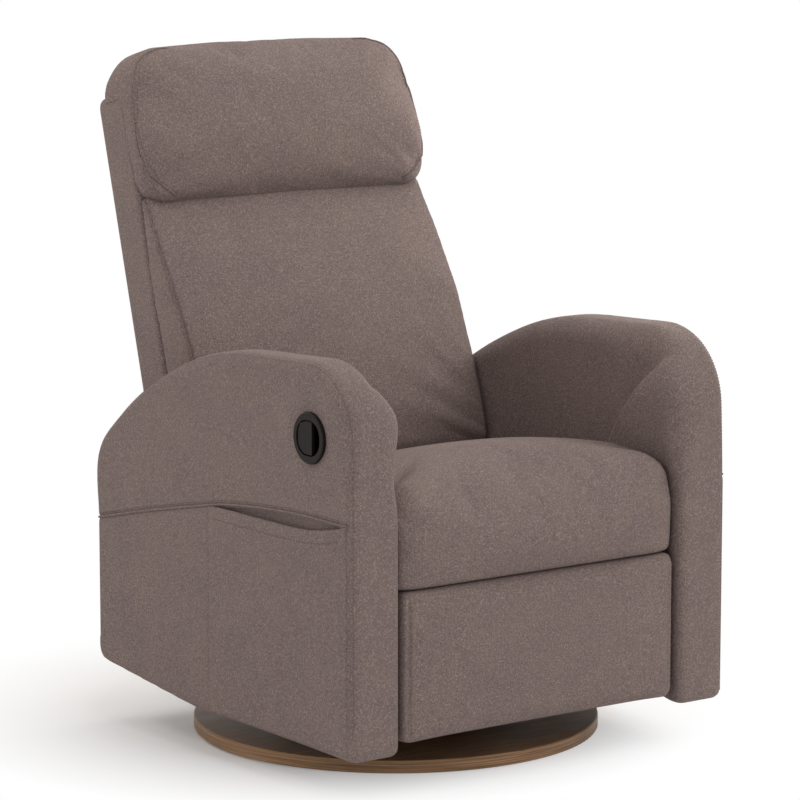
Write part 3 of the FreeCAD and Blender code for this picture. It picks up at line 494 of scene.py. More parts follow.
def heather_fabric(name, cool, warm, fleck_light, fleck_dark):
    """Felted heather weave: warm and cool patches, fine flecks in two sizes and a soft nap."""
    n = Nodes(name)
    patches = n.span(n.noise(16.0, 4.0, 0.65), 0.34, 0.66)
    base = n.mix(patches, cool, warm)
    coarse = n.span(n.noise(370.0, 3.0, 0.65), 0.37, 0.63)
    fine = n.span(n.noise(560.0, 3.0, 0.65), 0.37, 0.63)
    base = n.mix(n.span(coarse, 0.45, 1.0, 0.0, 0.68), base, fleck_light)
    base = n.mix(n.span(fine, 0.55, 0.0, 0.0, 0.68), base, fleck_dark)
    n.link(base, "Base Color")
    n.link(n.span(fine, 0, 1, 0.82, 0.97), "Roughness")
    nap = n.bump(coarse, 0.35, 0.0012)
    n.link(n.bump(fine, 0.3, 0.0006, nap), "Normal")
    n.shader.inputs["Sheen Weight"].default_value = 0.12
    n.shader.inputs["Sheen Roughness"].default_value = 0.5
    n.shader.inputs["Sheen Tint"].default_value = warm
    n.shader.inputs["Specular IOR Level"].default_value = 0.25
    return n.material


def wood(name, dark, light, rings, along, gloss=0.42, ply=None):
    """Grain in long streaks; with ply, the height of one layer, upright faces show the layers instead."""
    n = Nodes(name)
    stretched = n.add("Mapping", Vector=n.place)
    stretched.inputs["Scale"].default_value = along
    streak = n.noise(rings, 5.0, 0.6, stretched.outputs["Vector"])
    base = n.mix(n.span(streak, 0.32, 0.68), dark, light)
    pores = n.span(n.noise(rings * 9, 2.0, 0.6, stretched.outputs["Vector"]), 0.55, 0.75)
    base = n.mix(n.span(pores, 0, 1, 0, 0.35), base, dark)
    if ply:
        height = n.add("SeparateXYZ", Vector=n.place).outputs["Z"]
        wave = n.add("Math", Value=height)
        wave.operation = "MULTIPLY"
        wave.inputs[1].default_value = 2 * math.pi / ply
        ripple = n.tree.nodes.new("ShaderNodeMath")
        ripple.operation = "SINE"
        n.tree.links.new(wave.outputs[0], ripple.inputs[0])
        layered = n.add("Mapping", Vector=n.place)
        layered.inputs["Scale"].default_value = (0.5, 0.5, 26.0)
        layers = n.mix(n.span(n.noise(rings, 3.0, 0.6, layered.outputs["Vector"]), 0.36, 0.62), dark, light)
        layers = n.mix(n.span(ripple.outputs[0], 0.4, 0.95, 0.0, 0.7), layers, dark)
        upward = n.add("SeparateXYZ", Vector=n.facing).outputs["Z"]
        n.link(n.mix(n.span(upward, 0.5, 0.8), layers, base), "Base Color")
    else:
        n.link(base, "Base Color")
    n.link(n.span(streak, 0.3, 0.7, gloss, gloss + 0.16), "Roughness")
    n.link(n.bump(pores, 0.25, 0.0004), "Normal")
    return n.material


def moulded_plastic(name, tone, gloss):
    """Fine moulded grain with faint clouds of tone."""
    n = Nodes(name)
    grain = n.noise(1400.0, 2.0)
    n.link(n.mix(n.span(n.noise(30.0, 3.0), 0.35, 0.65), tone, darker(tone, 0.75)), "Base Color")
    n.link(n.span(grain, 0.3, 0.7, gloss, gloss + 0.14), "Roughness")
    n.link(n.bump(grain, 0.12, 0.0002), "Normal")
    n.shader.inputs["Specular IOR Level"].default_value = 0.12
    return n.material


def metal(name, tone, gloss, brushed=(1.0, 1.0, 30.0), metallic=1.0):
    """Fine scratches one way and uneven gloss."""
    n = Nodes(name)
    stretched = n.add("Mapping", Vector=n.place)
    stretched.inputs["Scale"].default_value = brushed
    scratch = n.noise(160.0, 4.0, 0.6, stretched.outputs["Vector"])
    n.link(n.mix(n.span(scratch, 0.3, 0.7), tone, darker(tone, 0.7)), "Base Color")
    n.link(n.span(n.noise(25.0, 4.0), 0.3, 0.7, gloss, gloss + 0.2), "Roughness")
    n.link(n.bump(scratch, 0.1, 0.0002), "Normal")
    n.shader.inputs["Metallic"].default_value = metallic
    return n.material


def strap_weave(name, tone, edge):
    """Woven strap: fine ribs across both ways."""
    n = Nodes(name)
    ribs = []
    for direction in ("X", "Y"):
        wave = n.add("TexWave", Vector=n.place, Scale=190.0, Distortion=0.6)
        wave.bands_direction = direction
        ribs.append(wave.outputs["Fac"])
    both = n.mix(0.5, ribs[0], ribs[1])
    n.link(n.mix(n.span(n.noise(700.0), 0.35, 0.65), tone, edge), "Base Color")
    n.link(n.bump(both, 0.5, 0.0006), "Normal")
    n.shader.inputs["Roughness"].default_value = 0.85
    return n.material


taupe = heather_fabric(
    "heather_taupe", colour(121, 106, 104), colour(129, 113, 107), colour(162, 145, 138), colour(80, 68, 67)
)
thread = heather_fabric(
    "taupe_thread", colour(104, 91, 89), colour(112, 98, 92), colour(130, 116, 110), colour(82, 71, 69)
)
SLOT_MATERIALS = {
    "upholstery_fabric": taupe,
    "walnut_ply": wood(
        "walnut_ply", colour(116, 82, 52), colour(176, 136, 96), 14.0, along=(1.0, 9.0, 1.0), ply=3.2 * MM
    ),
    "frame_wood": wood(
        "frame_wood", colour(176, 140, 98), colour(206, 174, 130), 12.0, along=(1.0, 1.0, 9.0), gloss=0.6
    ),
    "glide_felt": moulded_plastic("glide_felt", colour(38, 37, 36), 0.85),
    "steel": metal("zinc_steel", colour(176, 176, 178), 0.3),
    "black_steel": metal("black_steel", colour(38, 38, 39), 0.45, metallic=0.2),
    "black_plastic": moulded_plastic("black_plastic", colour(33, 27, 25), 0.36),
    "cable_sheath": moulded_plastic("cable_sheath", colour(40, 40, 42), 0.55),
    "webbing": strap_weave("webbing", colour(70, 70, 74), colour(96, 96, 98)),
}
for part in frame["record"]["subparts"]:
    node = frame["nodes"][part["node"]]
    node.data.materials.clear()
    node.data.materials.append(SLOT_MATERIALS[part["material_slot"]])


def dress(piece, body, material=taupe, *replaced):
    """Gives an upholstery piece its material and the body that it moves with."""
    piece.data.materials.clear()
    piece.data.materials.append(material)
    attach(piece, body)
    if replaced:
        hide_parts(*replaced)
    return piece


# Seat cushion

SEAT_HALF, SEAT_FRONT, SEAT_REAR = 254.0, -362.0, 98.0
SEAT_BOTTOM, SEAT_DECK, SEAT_NOSE_TOP, SEAT_REAR_TOP = 299.0, 345.0, 449.0, 394.0
SEAT_ROUNDS = [6, 9, 70, 60, 150, 24, 8, 4]
SEAT_END_ROUND, SEAT_END_DRAW = 40.0, 22.0
SEAT_APRON = SEAT_FRONT + 40  # rear of the part that hangs in front of the deck


def end_stations(half, end_round):
    """Places across a cushion, closer at its ends, each with its distance into the rounded end, 0 to 1."""
    ends = [math.sin(0.5 * math.pi * t) for t in np.linspace(1, 0, 9)]
    flats = np.linspace(1, 0, 9)[1:]
    left = [(-(half - end_round) - end_round * e, e) for e in ends]
    left += [(-(half - end_round) * f, 0.0) for f in flats]
    return left + [(-x, e) for x, e in reversed(left[:-1])]


def seat_section(x, into_end):
    """Side outline of the seat: apron, nose, crest and the slope to the rear."""
    draw = quarter_round(into_end)
    inset, low = SEAT_END_DRAW * draw, 2 * draw
    crown = 1.5 * (1 - (x / SEAT_HALF) ** 2)
    return corner_round(
        [
            (SEAT_APRON, SEAT_BOTTOM + low),
            (SEAT_FRONT + 5 + 0.7 * inset, SEAT_BOTTOM + low),
            (SEAT_FRONT - 3 + inset, 0.5 * (SEAT_BOTTOM + SEAT_NOSE_TOP)),
            (SEAT_FRONT + 12 + inset, SEAT_NOSE_TOP - 1.3 * inset),
            (0.6 * SEAT_FRONT, SEAT_NOSE_TOP + 5 + crown - 0.6 * inset),
            (SEAT_REAR - 0.4 * inset, SEAT_REAR_TOP + 0.5 * crown - inset),
            (SEAT_REAR - 18 - 0.4 * inset, SEAT_DECK),
            (SEAT_APRON, SEAT_DECK),
        ],
        SEAT_ROUNDS,
    )


def cross_lofted(name, section, half, end_round):
    """A form across the chair, from its side outline at every station."""
    return loft(name, [side_loop(x, section(x, e)) for x, e in end_stations(half, end_round)])


seat = cross_lofted("seat_upholstery", seat_section, SEAT_HALF, SEAT_END_ROUND)


def seat_rests(p):
    """Where the seat lies on its deck and between the arms."""
    low = p[:, 2] < SEAT_BOTTOM + 6
    deck = (p[:, 2] < SEAT_DECK + 6) & (p[:, 1] > SEAT_FRONT + 36)
    return low | deck | (p[:, 1] > SEAT_REAR - 26) | (np.abs(p[:, 0]) > SEAT_HALF - 3)


cushion(seat, [], seat_rests, cap=24.0)
dress(seat, "seat", taupe, "seat_cushion")

# Footrest pad

FOOT_HALF, FOOT_LOW, FOOT_HIGH = 250.0, 78.0, 298.0
FOOT_FRONT, FOOT_BOARD = -363.0, -323.0
FOOT_SEAM_X = FOOT_HALF - 8


def foot_section(x, into_end):
    """Side outline of the footrest pad."""
    inset = 9 * quarter_round(into_end)
    front = FOOT_FRONT + inset
    low, high = FOOT_LOW + inset, FOOT_HIGH - inset
    return corner_round([(FOOT_BOARD, low), (front, low), (front, high), (FOOT_BOARD, high)], [2, 10, 12, 2])


footrest = cross_lofted("footrest_upholstery", foot_section, FOOT_HALF, 15)
foot_seams = [
    [(side * FOOT_SEAM_X, FOOT_FRONT + 2, FOOT_LOW + 8), (side * FOOT_SEAM_X, FOOT_FRONT + 2, FOOT_HIGH - 8)]
    for side in (-1, 1)
]
cushion(footrest, foot_seams, lambda p: p[:, 1] > FOOT_BOARD - 8, cap=7.0, pressure=2.0)
dress(footrest, "footrest", taupe, "footrest_pad")
foot_tree = surface_tree(footrest)
for side, word in ((-1, "right"), (1, "left")):
    line = [(side * (FOOT_SEAM_X - 5), FOOT_FRONT + 3, z) for z in (FOOT_LOW + 14, 190, FOOT_HIGH - 14)]
    dress(stitch_row("footrest_stitches_" + word, foot_tree, line), "footrest", thread)

# Back cushion, in the back's own frame: (x, depth, height)

BACK_LOW, BACK_HIGH = 38.0, 486.0
BACK_END_ROUND = 26.0
SHELL_FRONT = -13.0


def back_front_depth(height):
    """Depth of the cushion's front at a height: fullest low down, thin under the pillow."""
    return np.interp(height, [44, 100, 180, 292, 400, 490], [-103, -105, -100, -84, -53, -25])


def back_half(height):
    """Half width: drawn in between the arms, fuller above them."""
    return np.interp(height, [44, 230, 300, 400, 490], [263, 263, 265, 265, 260])


def back_outline(height):
    """Section across the back cushion, drawn in toward its lower end."""
    pinch = quarter_round(max(0.0, 1 - (height - BACK_LOW) / BACK_END_ROUND))
    front = back_front_depth(height) + BACK_END_ROUND * pinch
    side = back_half(height) - 10 * pinch
    return corner_round(
        [(-side, SHELL_FRONT), (side, SHELL_FRONT), (side, front), (0, front - 8), (-side, front)],
        [1, 1, 12, 600, 12],
    )


low_heights = np.linspace(BACK_LOW, BACK_LOW + BACK_END_ROUND, 6)
back_heights = np.concatenate([low_heights, np.linspace(BACK_LOW + 40, BACK_HIGH, 30)])
back = loft("back_upholstery", [back_level(back_outline(h), h) for h in back_heights])


def back_edge(side, ahead=0.0, inward=0.0):
    """Seam along the front edge of the back cushion, on one side."""
    heights = np.linspace(BACK_LOW + 30, BACK_HIGH, 24)
    spots = [(side * (back_half(h) - 1.5 - inward), back_front_depth(h) + 5 - ahead, h) for h in heights]
    return back_place(spots)


back_seams = [back_edge(-1), back_edge(1)]


def back_rests(p):
    """Where the back cushion lies on the shell, and its two ends."""
    local = back_local(p)
    return (local[:, 1] > SHELL_FRONT - 4) | (local[:, 2] > BACK_HIGH - 4) | (local[:, 2] < BACK_LOW + 4)


cushion(back, back_seams, back_rests, cap=22.0)
dress(back, "back", taupe, "back_cushion")
back_tree = surface_tree(back)
for side, word in ((-1, "right"), (1, "left")):
    dress(stitch_row("back_stitches_" + word, back_tree, back_edge(side, 3.0, 4.0)), "back", thread)
    dress(welt("back_welt_" + word, back_tree, back_edge(side), *FINE_WELT), "back")

# Head pillow

PILLOW_LOW, PILLOW_HIGH, PILLOW_HALF = 474.0, 719.0, 267.0
PILLOW_TOP_ROUND, PILLOW_LOW_ROUND = 72.0, 42.0
PILLOW_FRONT, PILLOW_REAR, PILLOW_SHELF = -61.0, 39.0, 644.0
PILLOW_END_ROUND, PILLOW_END_HEIGHT = 40.0, 150.0
# Front seam of the sitter's left half: (x, depth, height) from the top corner to the lower one
PILLOW_SEAM = [
    (176, -22, 712), (224, -24, 694), (249, -28, 660), (259, -32, 610),
    (258, -38, 550), (246, -38, 508), (214, -42, 486),
]


def corner_drop(x, corner):
    """How far the pillow's edge has turned at x, for a corner of that radius."""
    return corner * quarter_round(max(0.0, abs(x) - (PILLOW_HALF - corner)) / corner)


def pillow_section(x, into_end):
    """Side outline of the pillow, with the shelf that hooks over the shell's top edge."""
    top = max(PILLOW_HIGH - corner_drop(x, PILLOW_TOP_ROUND), PILLOW_LOW + PILLOW_END_HEIGHT)
    low = PILLOW_LOW + corner_drop(x, PILLOW_LOW_ROUND)
    draw = quarter_round(into_end)
    front = PILLOW_FRONT + 24 * draw - 6 * (1 - (x / PILLOW_HALF) ** 2)
    rear = PILLOW_REAR - 3 * draw
    middle = 0.5 * (low + top) - 34
    shelf = min(PILLOW_SHELF, top - 6)
    return corner_round(
        [
            (SHELL_FRONT, low),
            (front + 14, low),
            (front - 4, middle),
            (front + 24, top),
            (rear, top),
            (rear, shelf),
            (SHELL_FRONT, shelf),
        ],
        [2, 26, 130, 34, 22, 2, 2],
    )


pillow_stations = end_stations(PILLOW_HALF, PILLOW_END_ROUND)
pillow_rows = [back_place(side_loop(x, pillow_section(x, e))) for x, e in pillow_stations]
pillow = loft("pillow_upholstery", pillow_rows)


def pillow_seam(side, inset=0.0):
    """Front seam down one side, or a line beside it."""
    spots = [(side * (x - inset), depth - 0.4 * inset, height) for x, depth, height in PILLOW_SEAM]
    return curve_through(back_place(spots), 60)


pillow_seams = [pillow_seam(-1), pillow_seam(1)]


def pillow_rests(p):
    """Where the pillow lies on the back."""
    local = back_local(p)
    return (local[:, 1] > SHELL_FRONT - 5) & (local[:, 2] < PILLOW_SHELF + 5)


cushion(pillow, pillow_seams, pillow_rests, cap=14.0, pressure=2.0)
dress(pillow, "back", taupe, "head_pillow")
pillow_tree = surface_tree(pillow)
for side, word in ((-1, "right"), (1, "left")):
    dress(stitch_row("pillow_stitches_" + word, pillow_tree, pillow_seam(side, 5.0)), "back", thread)
    dress(welt("pillow_welt_" + word, pillow_tree, pillow_seam(side), *FINE_WELT), "back")

# Back shell: side walls and rear panel as one upholstered form

SHELL_HALF, SHELL_REAR, SHELL_LOW = 265.0, 66.0, 24.0
SHELL_SIDE, SHELL_PANEL, TAIL_PANEL = 22.0, 17.0, 18.0  # thickness of the side walls, rear panel and tail
SHELL_TOP_ROUND = 640.0  # height where the top edge starts to turn in
TAIL_LOW, TAIL_HIGH = -90.0, 23.5


def shell_outline(height):
    """Section across the back: a shallow U, open to the front."""
    half, rear = SHELL_HALF, SHELL_REAR
    if height < SHELL_LOW:
        front = rear - TAIL_PANEL
        return corner_round([(-half, front), (-half, rear), (half, rear), (half, front)], [3, 12, 12, 3])
    front, inner_rear = SHELL_FRONT - 1, rear - SHELL_PANEL
    inner = half - SHELL_SIDE
    outer_corners = [(-half, front), (-half, rear), (half, rear), (half, front)]
    inner_corners = [(inner, front), (inner, inner_rear), (-inner, inner_rear), (-inner, front)]
    return corner_round(outer_corners + inner_corners, [5, 15, 15, 5, 5, 2, 2, 5])


def shell_piece(name, heights, trim):
    """Part of the back's outside; trim says how far its section draws in at each height."""
    rows = []
    for h in heights:
        outline = shell_outline(h)
        shrink = trim(h)
        centre = np.array([0, 0.5 * (outline[:, 1].min() + outline[:, 1].max())])
        scale = 1 - shrink / np.array([SHELL_HALF, 0.5 * np.ptp(outline[:, 1])])
        rows.append(back_level(centre + (outline - centre) * scale, h))
    return loft(name, rows)


def top_trim(h):
    return 12 * quarter_round(max(0.0, h - SHELL_TOP_ROUND) / 15)


def tail_trim(h):
    return 5 * (1 - min(1.0, (h - TAIL_LOW) / 6))


shell_heights = list(np.linspace(SHELL_LOW, SHELL_TOP_ROUND, 40)) + [645, 649, 652, 654, 655]
tail_heights = [TAIL_LOW, TAIL_LOW + 1, TAIL_LOW + 4] + list(np.linspace(TAIL_LOW + 10, TAIL_HIGH, 12))
shell = shell_piece("shell_upholstery", shell_heights, top_trim)
tail = shell_piece("shell_tail", tail_heights, tail_trim)
for piece in (shell, tail):
    voxel_remesh(piece)
    relax(piece, 6)
    subdivide(piece)


def shell_line(side, inset, depth, low, high):
    """An upright line on the shell's rear, near one side."""
    return back_place([(side * (SHELL_HALF - inset), depth, h) for h in np.linspace(low, high, 30)])


shell_seams = [shell_line(side, 9, SHELL_REAR - 1, SHELL_LOW, SHELL_TOP_ROUND) for side in (-1, 1)]
press_seams(shell, shell_seams, 1.6, 4.0)
dress(shell, "back", taupe, "back_shell")
dress(tail, "back", taupe)
shell_tree = surface_tree(shell)
for side, word in ((-1, "right"), (1, "left")):
    line = shell_line(side, 15, SHELL_REAR + 1, SHELL_LOW + 2, SHELL_TOP_ROUND - 2)
    dress(stitch_row("shell_stitches_" + word, shell_tree, line), "back", thread)

# Rear skirt between the arms

skirt_low, skirt_high = [np.array(corner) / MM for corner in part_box("rear_skirt")]


def skirt_section(x, into_end):
    """Side outline of the rear skirt, inside its CAD box."""
    inset = 5 * quarter_round(into_end)
    y0, y1 = skirt_low[1] + inset, skirt_high[1] - inset
    z0, z1 = skirt_low[2] + inset, skirt_high[2] - inset
    return corner_round([(y0, z0), (y0, z1), (y1, z1), (y1, z0)], [5, 7, 7, 5])


skirt = cross_lofted("rear_skirt_upholstery", skirt_section, skirt_high[0] - 0.3, 8)
voxel_remesh(skirt)
relax(skirt, 6)
subdivide(skirt)
dress(skirt, "chassis", taupe, "rear_skirt")

# Rocker springs: a steel coil in each CAD spring's box, between the turntable and the chassis

SPRING_COIL, SPRING_WIRE, SPRING_TURNS = 15.0, 2.5, 5


def rocker_spring(node, word, mirrored):
    """A coil in the CAD spring's box, on the sitter's left or mirrored to the right."""
    low, high = [np.array(corner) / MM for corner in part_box(node)]
    turns = np.linspace(0, 2 * math.pi * SPRING_TURNS, 24 * SPRING_TURNS)
    across = high[0] - SPRING_WIRE - SPRING_COIL + SPRING_COIL * np.cos(turns)
    along = 0.5 * (low[1] + high[1]) + SPRING_COIL * np.sin(turns)
    rise = np.linspace(low[2] + SPRING_WIRE, high[2] - SPRING_WIRE, len(turns))
    spring = tube(f"{node}_{word}", np.column_stack([across, along, rise]), SPRING_WIRE, sides=12)
    if mirrored:
        mirror(spring)
    spring.data.materials.append(SLOT_MATERIALS["steel"])
    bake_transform(spring)
    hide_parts(node)


for spring_node in ("rocker_springs_front", "rocker_springs_rear"):
    rocker_spring(spring_node, "left", False)
    rocker_spring(spring_node, "right", True)

# Arms: made on the +X side and mirrored for the sitter's right

# Side outline of the arm, (y, z), from the front foot over the arch to the rear
ARM_POINTS = [
    (ARM_FRONT, ARM_SKIRT - 6), (ARM_FRONT, 632), (-10, 616), (165, 546),
    (ARM_REAR, 434), (ARM_REAR, 97), (40, ARM_SKIRT),
]
ARM_ROUNDS = [12, 112, 800, 600, 90, 22, 60]
# Rounding of the inner edge, across and along the arm, and of the outer edge
FRONT_EDGES = (13.0, 13.0, 19.0)
REAR_EDGES = (13.0, 13.0, 9.0)
ARCH_EDGES = (34.0, 34.0, 15.0)
WING_EDGES = (30.0, 46.0, 19.0)
LIP = 9.0  # the front pad's step toward the seat
CREASE = [(-196, 430), (-205, 445), (-240, 502), (-282, 553), (-308, 581), (-334, 598)]
WING_BULGE, WING_FADE = 29.0, 110.0  # the wing stands out at its crease and runs flat ahead of it
PANEL_HOLLOW = 4.0  # dip of the inner face behind the crease
OUTER_PADDING, OUTER_LEAN = 2.0, 6.0
# Seam above the pocket and the pocket's own open edge, (y, z) from the rear to the front
POCKET_SEAM = curve_through(
    [(299, 318), (148, 352), (-10, 384), (-67, 393), (-150, 401), (-246, 406), (-357, 406)], 90
)
POCKET_REAR, POCKET_FRONT, POCKET_LOW = -12.0, -356.0, 74.0
POCKET_LIP = curve_through(
    [(POCKET_REAR, 384), (-60, 385), (-150, 386), (-270, 388), (POCKET_FRONT, 403)], 60
)
POCKET_HOLLOW, POCKET_SLACK, POCKET_HEM = 6.0, 6.0, 19.0  # arm's hollow behind it, sag of its edge, hem depth
HANDLE_Y, HANDLE_Z, HANDLE_BORE, HANDLE_DEPTH = -273.0, 520.0, 34.5, 40.0
HANDLE_TUCK = 2.4  # the cover draws in around the handle


def arm_outline(inset):
    """Side outline of the arm, drawn in all round."""
    rounds = [max(2.0, r - inset) for r in ARM_ROUNDS]
    return corner_round(inset_outline(ARM_POINTS, inset), rounds, 12, 14)


def edge_loops(inner_across, inner_along, outer_round):
    """Outlines across the arm, from the inner face round both edges to the outer face."""
    rows = []
    quarter = [0.5 * math.pi * t for t in np.linspace(0, 1, 9)]
    for t in quarter:
        rows.append((ARM_INSIDE + inner_across * (1 - math.cos(t)), inner_along * (1 - math.sin(t))))
    for t in quarter:
        rows.append((ARM_OUTSIDE - outer_round * (1 - math.sin(t)), outer_round * (1 - math.cos(t))))
    return np.array([side_loop(x, arm_outline(inset)) for x, inset in rows])


def arm_loops():
    """Tight edges at the foot, softer ones over the arch, a wide inner one up the front above the seat."""
    front, rear = edge_loops(*FRONT_EDGES), edge_loops(*REAR_EDGES)
    arch, wing = edge_loops(*ARCH_EDGES), edge_loops(*WING_EDGES)
    y, z = front[:, :, 1:2], front[:, :, 2:3]
    behind = smoothstep(-250, 100, y)
    loops = front * (1 - behind) + rear * behind
    over = smoothstep(480, 580, z)
    loops = loops * (1 - over) + arch * over
    winged = smoothstep(400, 500, z) * (1 - smoothstep(-290, -120, y))
    return loops * (1 - winged) + wing * winged


def crease_side(points):
    """Distance before the wing's crease, in the side plane: positive toward the chair's front."""
    line = dense(np.column_stack([np.zeros(len(CREASE)), CREASE]), 3.0)[:, 1:]
    flat = points[:, 1:]
    best = np.full(len(flat), 1e9)
    sign = np.ones(len(flat))
    for a, b in zip(line, line[1:]):
        run = b - a
        t = np.clip(((flat - a) @ run) / (run @ run), 0, 1)
        gap = flat - (a + t[:, None] * run)
        d = np.hypot(gap[:, 0], gap[:, 1])
        side = np.where(run[0] * gap[:, 1] - run[1] * gap[:, 0] > 0, 1.0, -1.0)
        closer = d < best
        best = np.where(closer, d, best)
        sign = np.where(closer, side, sign)
    return best * sign


def shape_arm(points, normals, with_handle):
    """Padding over the boards: the inner wing with its crease, the pocket's hollow, the handle's bore."""
    x, y, z = points.T
    move = np.zeros((len(points), 3))
    inner = smoothstep(0.2, 0.85, -normals[:, 0])
    ahead = crease_side(points)
    below_arch = 1 - smoothstep(520, 612, z)
    wing_run = 1 - np.clip((ahead - 8) / WING_FADE, 0, 1)
    wing = smoothstep(-3, 8, ahead) * wing_run * smoothstep(395, 440, z)
    panel = smoothstep(0, 14, -ahead) * (1 - smoothstep(40, 220, -ahead))
    move[:, 0] += inner * below_arch * (PANEL_HOLLOW * panel - WING_BULGE * wing)
    beside_seat = (1 - smoothstep(-345, -300, y)) * (1 - smoothstep(540, 620, z))
    move[:, 0] -= LIP * beside_seat * (1 - smoothstep(ARM_INSIDE + 6, ARM_INSIDE + 40, x))
    outer = smoothstep(0.6, 0.9, normals[:, 0])
    lean = OUTER_LEAN * smoothstep(380, 580, z)
    seam_z = np.interp(-y, -POCKET_SEAM[:, 0], POCKET_SEAM[:, 1])
    within = smoothstep(-348, -330, y) * (1 - smoothstep(-30, POCKET_REAR, y))
    below = smoothstep(1.0, 7.0, seam_z - z) * smoothstep(150, 190, z)
    move[:, 0] -= outer * within * below * POCKET_HOLLOW
    padding = smoothstep(0, 60, z - seam_z) * smoothstep(0, 90, 634 - z)
    move[:, 0] += outer * OUTER_PADDING * padding * smoothstep(-366, -310, y)
    if with_handle:
        r = np.hypot(y - HANDLE_Y, z - HANDLE_Z)
        lean *= smoothstep(HANDLE_BORE, 3 * HANDLE_BORE, r)
        move[:, 0] -= outer * (1 - smoothstep(HANDLE_BORE - 4, HANDLE_BORE + 1, r)) * HANDLE_DEPTH
        move[:, 0] -= outer * HANDLE_TUCK * (1 - smoothstep(HANDLE_BORE + 4, HANDLE_BORE + 24, r))
    move[:, 0] -= lean * smoothstep(ARM_INSIDE + 30, ARM_OUTSIDE, x)
    return points + move


def front_edge_line():
    """Seam on the arm's outer edge: up the front and over the arch."""
    outline = arm_outline(3.0)
    start = np.argmin(np.hypot(outline[:, 0] - ARM_FRONT - 3, outline[:, 1] - 92))
    line = np.roll(outline, -start, axis=0)
    end = np.argmin(np.hypot(line[:, 0] - ARM_REAR + 3, line[:, 1] - 140))
    return side_loop(ARM_OUTSIDE - 3.0, line[: end + 1])


def arm_seams():
    """Seam lines of one arm: outer edge, above the pocket, across the front, behind the pocket."""
    cross = [
        (ARM_OUTSIDE - 2, -362, 600), (ARM_OUTSIDE - 30, -366, 608),
        (ARM_INSIDE + 26, -364, 604), (ARM_INSIDE + 4, -350, 600),
    ]
    return {
        "edge": front_edge_line(),
        "pocket": side_loop(ARM_OUTSIDE, POCKET_SEAM),
        "cross": np.array(cross),
        "panel": np.array([(ARM_OUTSIDE, -10, z) for z in (378, 200, 76)]),
    }


def make_arm(side, word, with_handle):
    """Arm cover with its seams and pocket."""
    arm = loft("arm_upholstery_" + word, arm_loops())
    voxel_remesh(arm)
    relax(arm, 8)
    subdivide(arm)
    set_points(arm, shape_arm(points_of(arm), normals_of(arm), with_handle))
    relax(arm, 2)
    seams = arm_seams()
    press_seams(arm, [seams["pocket"]], 1.8, 4.0)
    press_seams(arm, [seams["cross"], seams["edge"]], 1.2, 3.5)
    press_seams(arm, [seams["panel"]], 1.6, 4.0)
    tree = surface_tree(arm)
    trims = [
        (welt("pocket_welt_" + word, tree, seams["pocket"], *ARM_WELT), taupe),
        (stitch_row("pocket_seam_stitches_" + word, tree, seams["pocket"] + np.array([0, 0, 5.5])), thread),
        (stitch_row("arm_edge_stitches_" + word, tree, seams["edge"] - np.array([6.0, 0, 0])), thread),
        (pocket_sheet("pocket_panel_" + word), taupe),
    ]
    pieces = [arm] + [piece for piece, _ in trims]
    if side < 0:
        for piece in pieces:
            mirror(piece)
    dress(arm, "chassis", taupe, "arm_cover_" + word)
    for piece, material in trims:
        dress(piece, "chassis", material)
    pocket = trims[-1][0]
    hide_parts("side_pocket_" + word)
    dress_pocket_hem(side, word, pocket)


def pocket_lip(y):
    """Height of the pocket's open edge."""
    return np.interp(-y, -POCKET_LIP[:, 0], POCKET_LIP[:, 1])


def pocket_sheet(name):
    """Thin panel over the lower front of the arm, open along its sagging top edge."""
    columns, rows, thick = 120, 100, 2.4
    width = POCKET_REAR - POCKET_FRONT
    front = []
    for y in np.linspace(POCKET_REAR, POCKET_FRONT, columns):
        lip = pocket_lip(y)
        sag = math.sin(math.pi * np.clip((POCKET_REAR - y) / width, 0, 1)) ** 0.8
        for share in np.linspace(0, 1, rows):
            z = POCKET_LOW + (lip - POCKET_LOW) * share
            free = smoothstep(0.7, 1.0, share) * sag
            hem = 0.8 * math.exp(-(((lip - z - POCKET_HEM) / 3.0) ** 2)) * free
            roll = 1.6 * smoothstep(0.985, 1.0, share)
            edge = smoothstep(POCKET_FRONT, POCKET_FRONT + 14, y)
            front.append((ARM_OUTSIDE - 1.6 + 2.0 * edge + POCKET_SLACK * free - hem - roll, y, z))
    front = np.array(front)
    behind = front - np.array([thick, 0, 0])
    points = np.vstack([front, behind])
    n = len(front)
    faces = []
    for c in range(columns - 1):
        for r in range(rows - 1):
            a, b = c * rows + r, (c + 1) * rows + r
            faces.append((a, a + 1, b + 1, b))
            faces.append((n + b, n + b + 1, n + a + 1, n + a))
    rim = [c * rows for c in range(columns)] + [(columns - 1) * rows + r for r in range(1, rows)]
    rim += [c * rows + rows - 1 for c in range(columns - 2, -1, -1)] + list(range(rows - 2, 0, -1))
    for i, a in enumerate(rim):
        b = rim[(i + 1) % len(rim)]
        faces.append((a, b, n + b, n + a))
    return add_mesh(name, points, faces)


def dress_pocket_hem(side, word, pocket):
    """Stitches along the hem below the pocket's open edge."""
    tree = surface_tree(pocket)
    x = side * (ARM_OUTSIDE + POCKET_SLACK)
    line = np.array([(x, y, pocket_lip(y) - POCKET_HEM) for y in np.linspace(-20, -344, 60)])
    dress(stitch_row("pocket_hem_stitches_" + word, tree, line), "chassis", thread)


make_arm(1, "left", False)
make_arm(-1, "right", True)

# Stage: floor, light and camera

FLOOR_SIZE = 12.0
SHADOW_MIDDLE = (-0.03, 0.17, 0.0)  # the floor turns plain white away from here


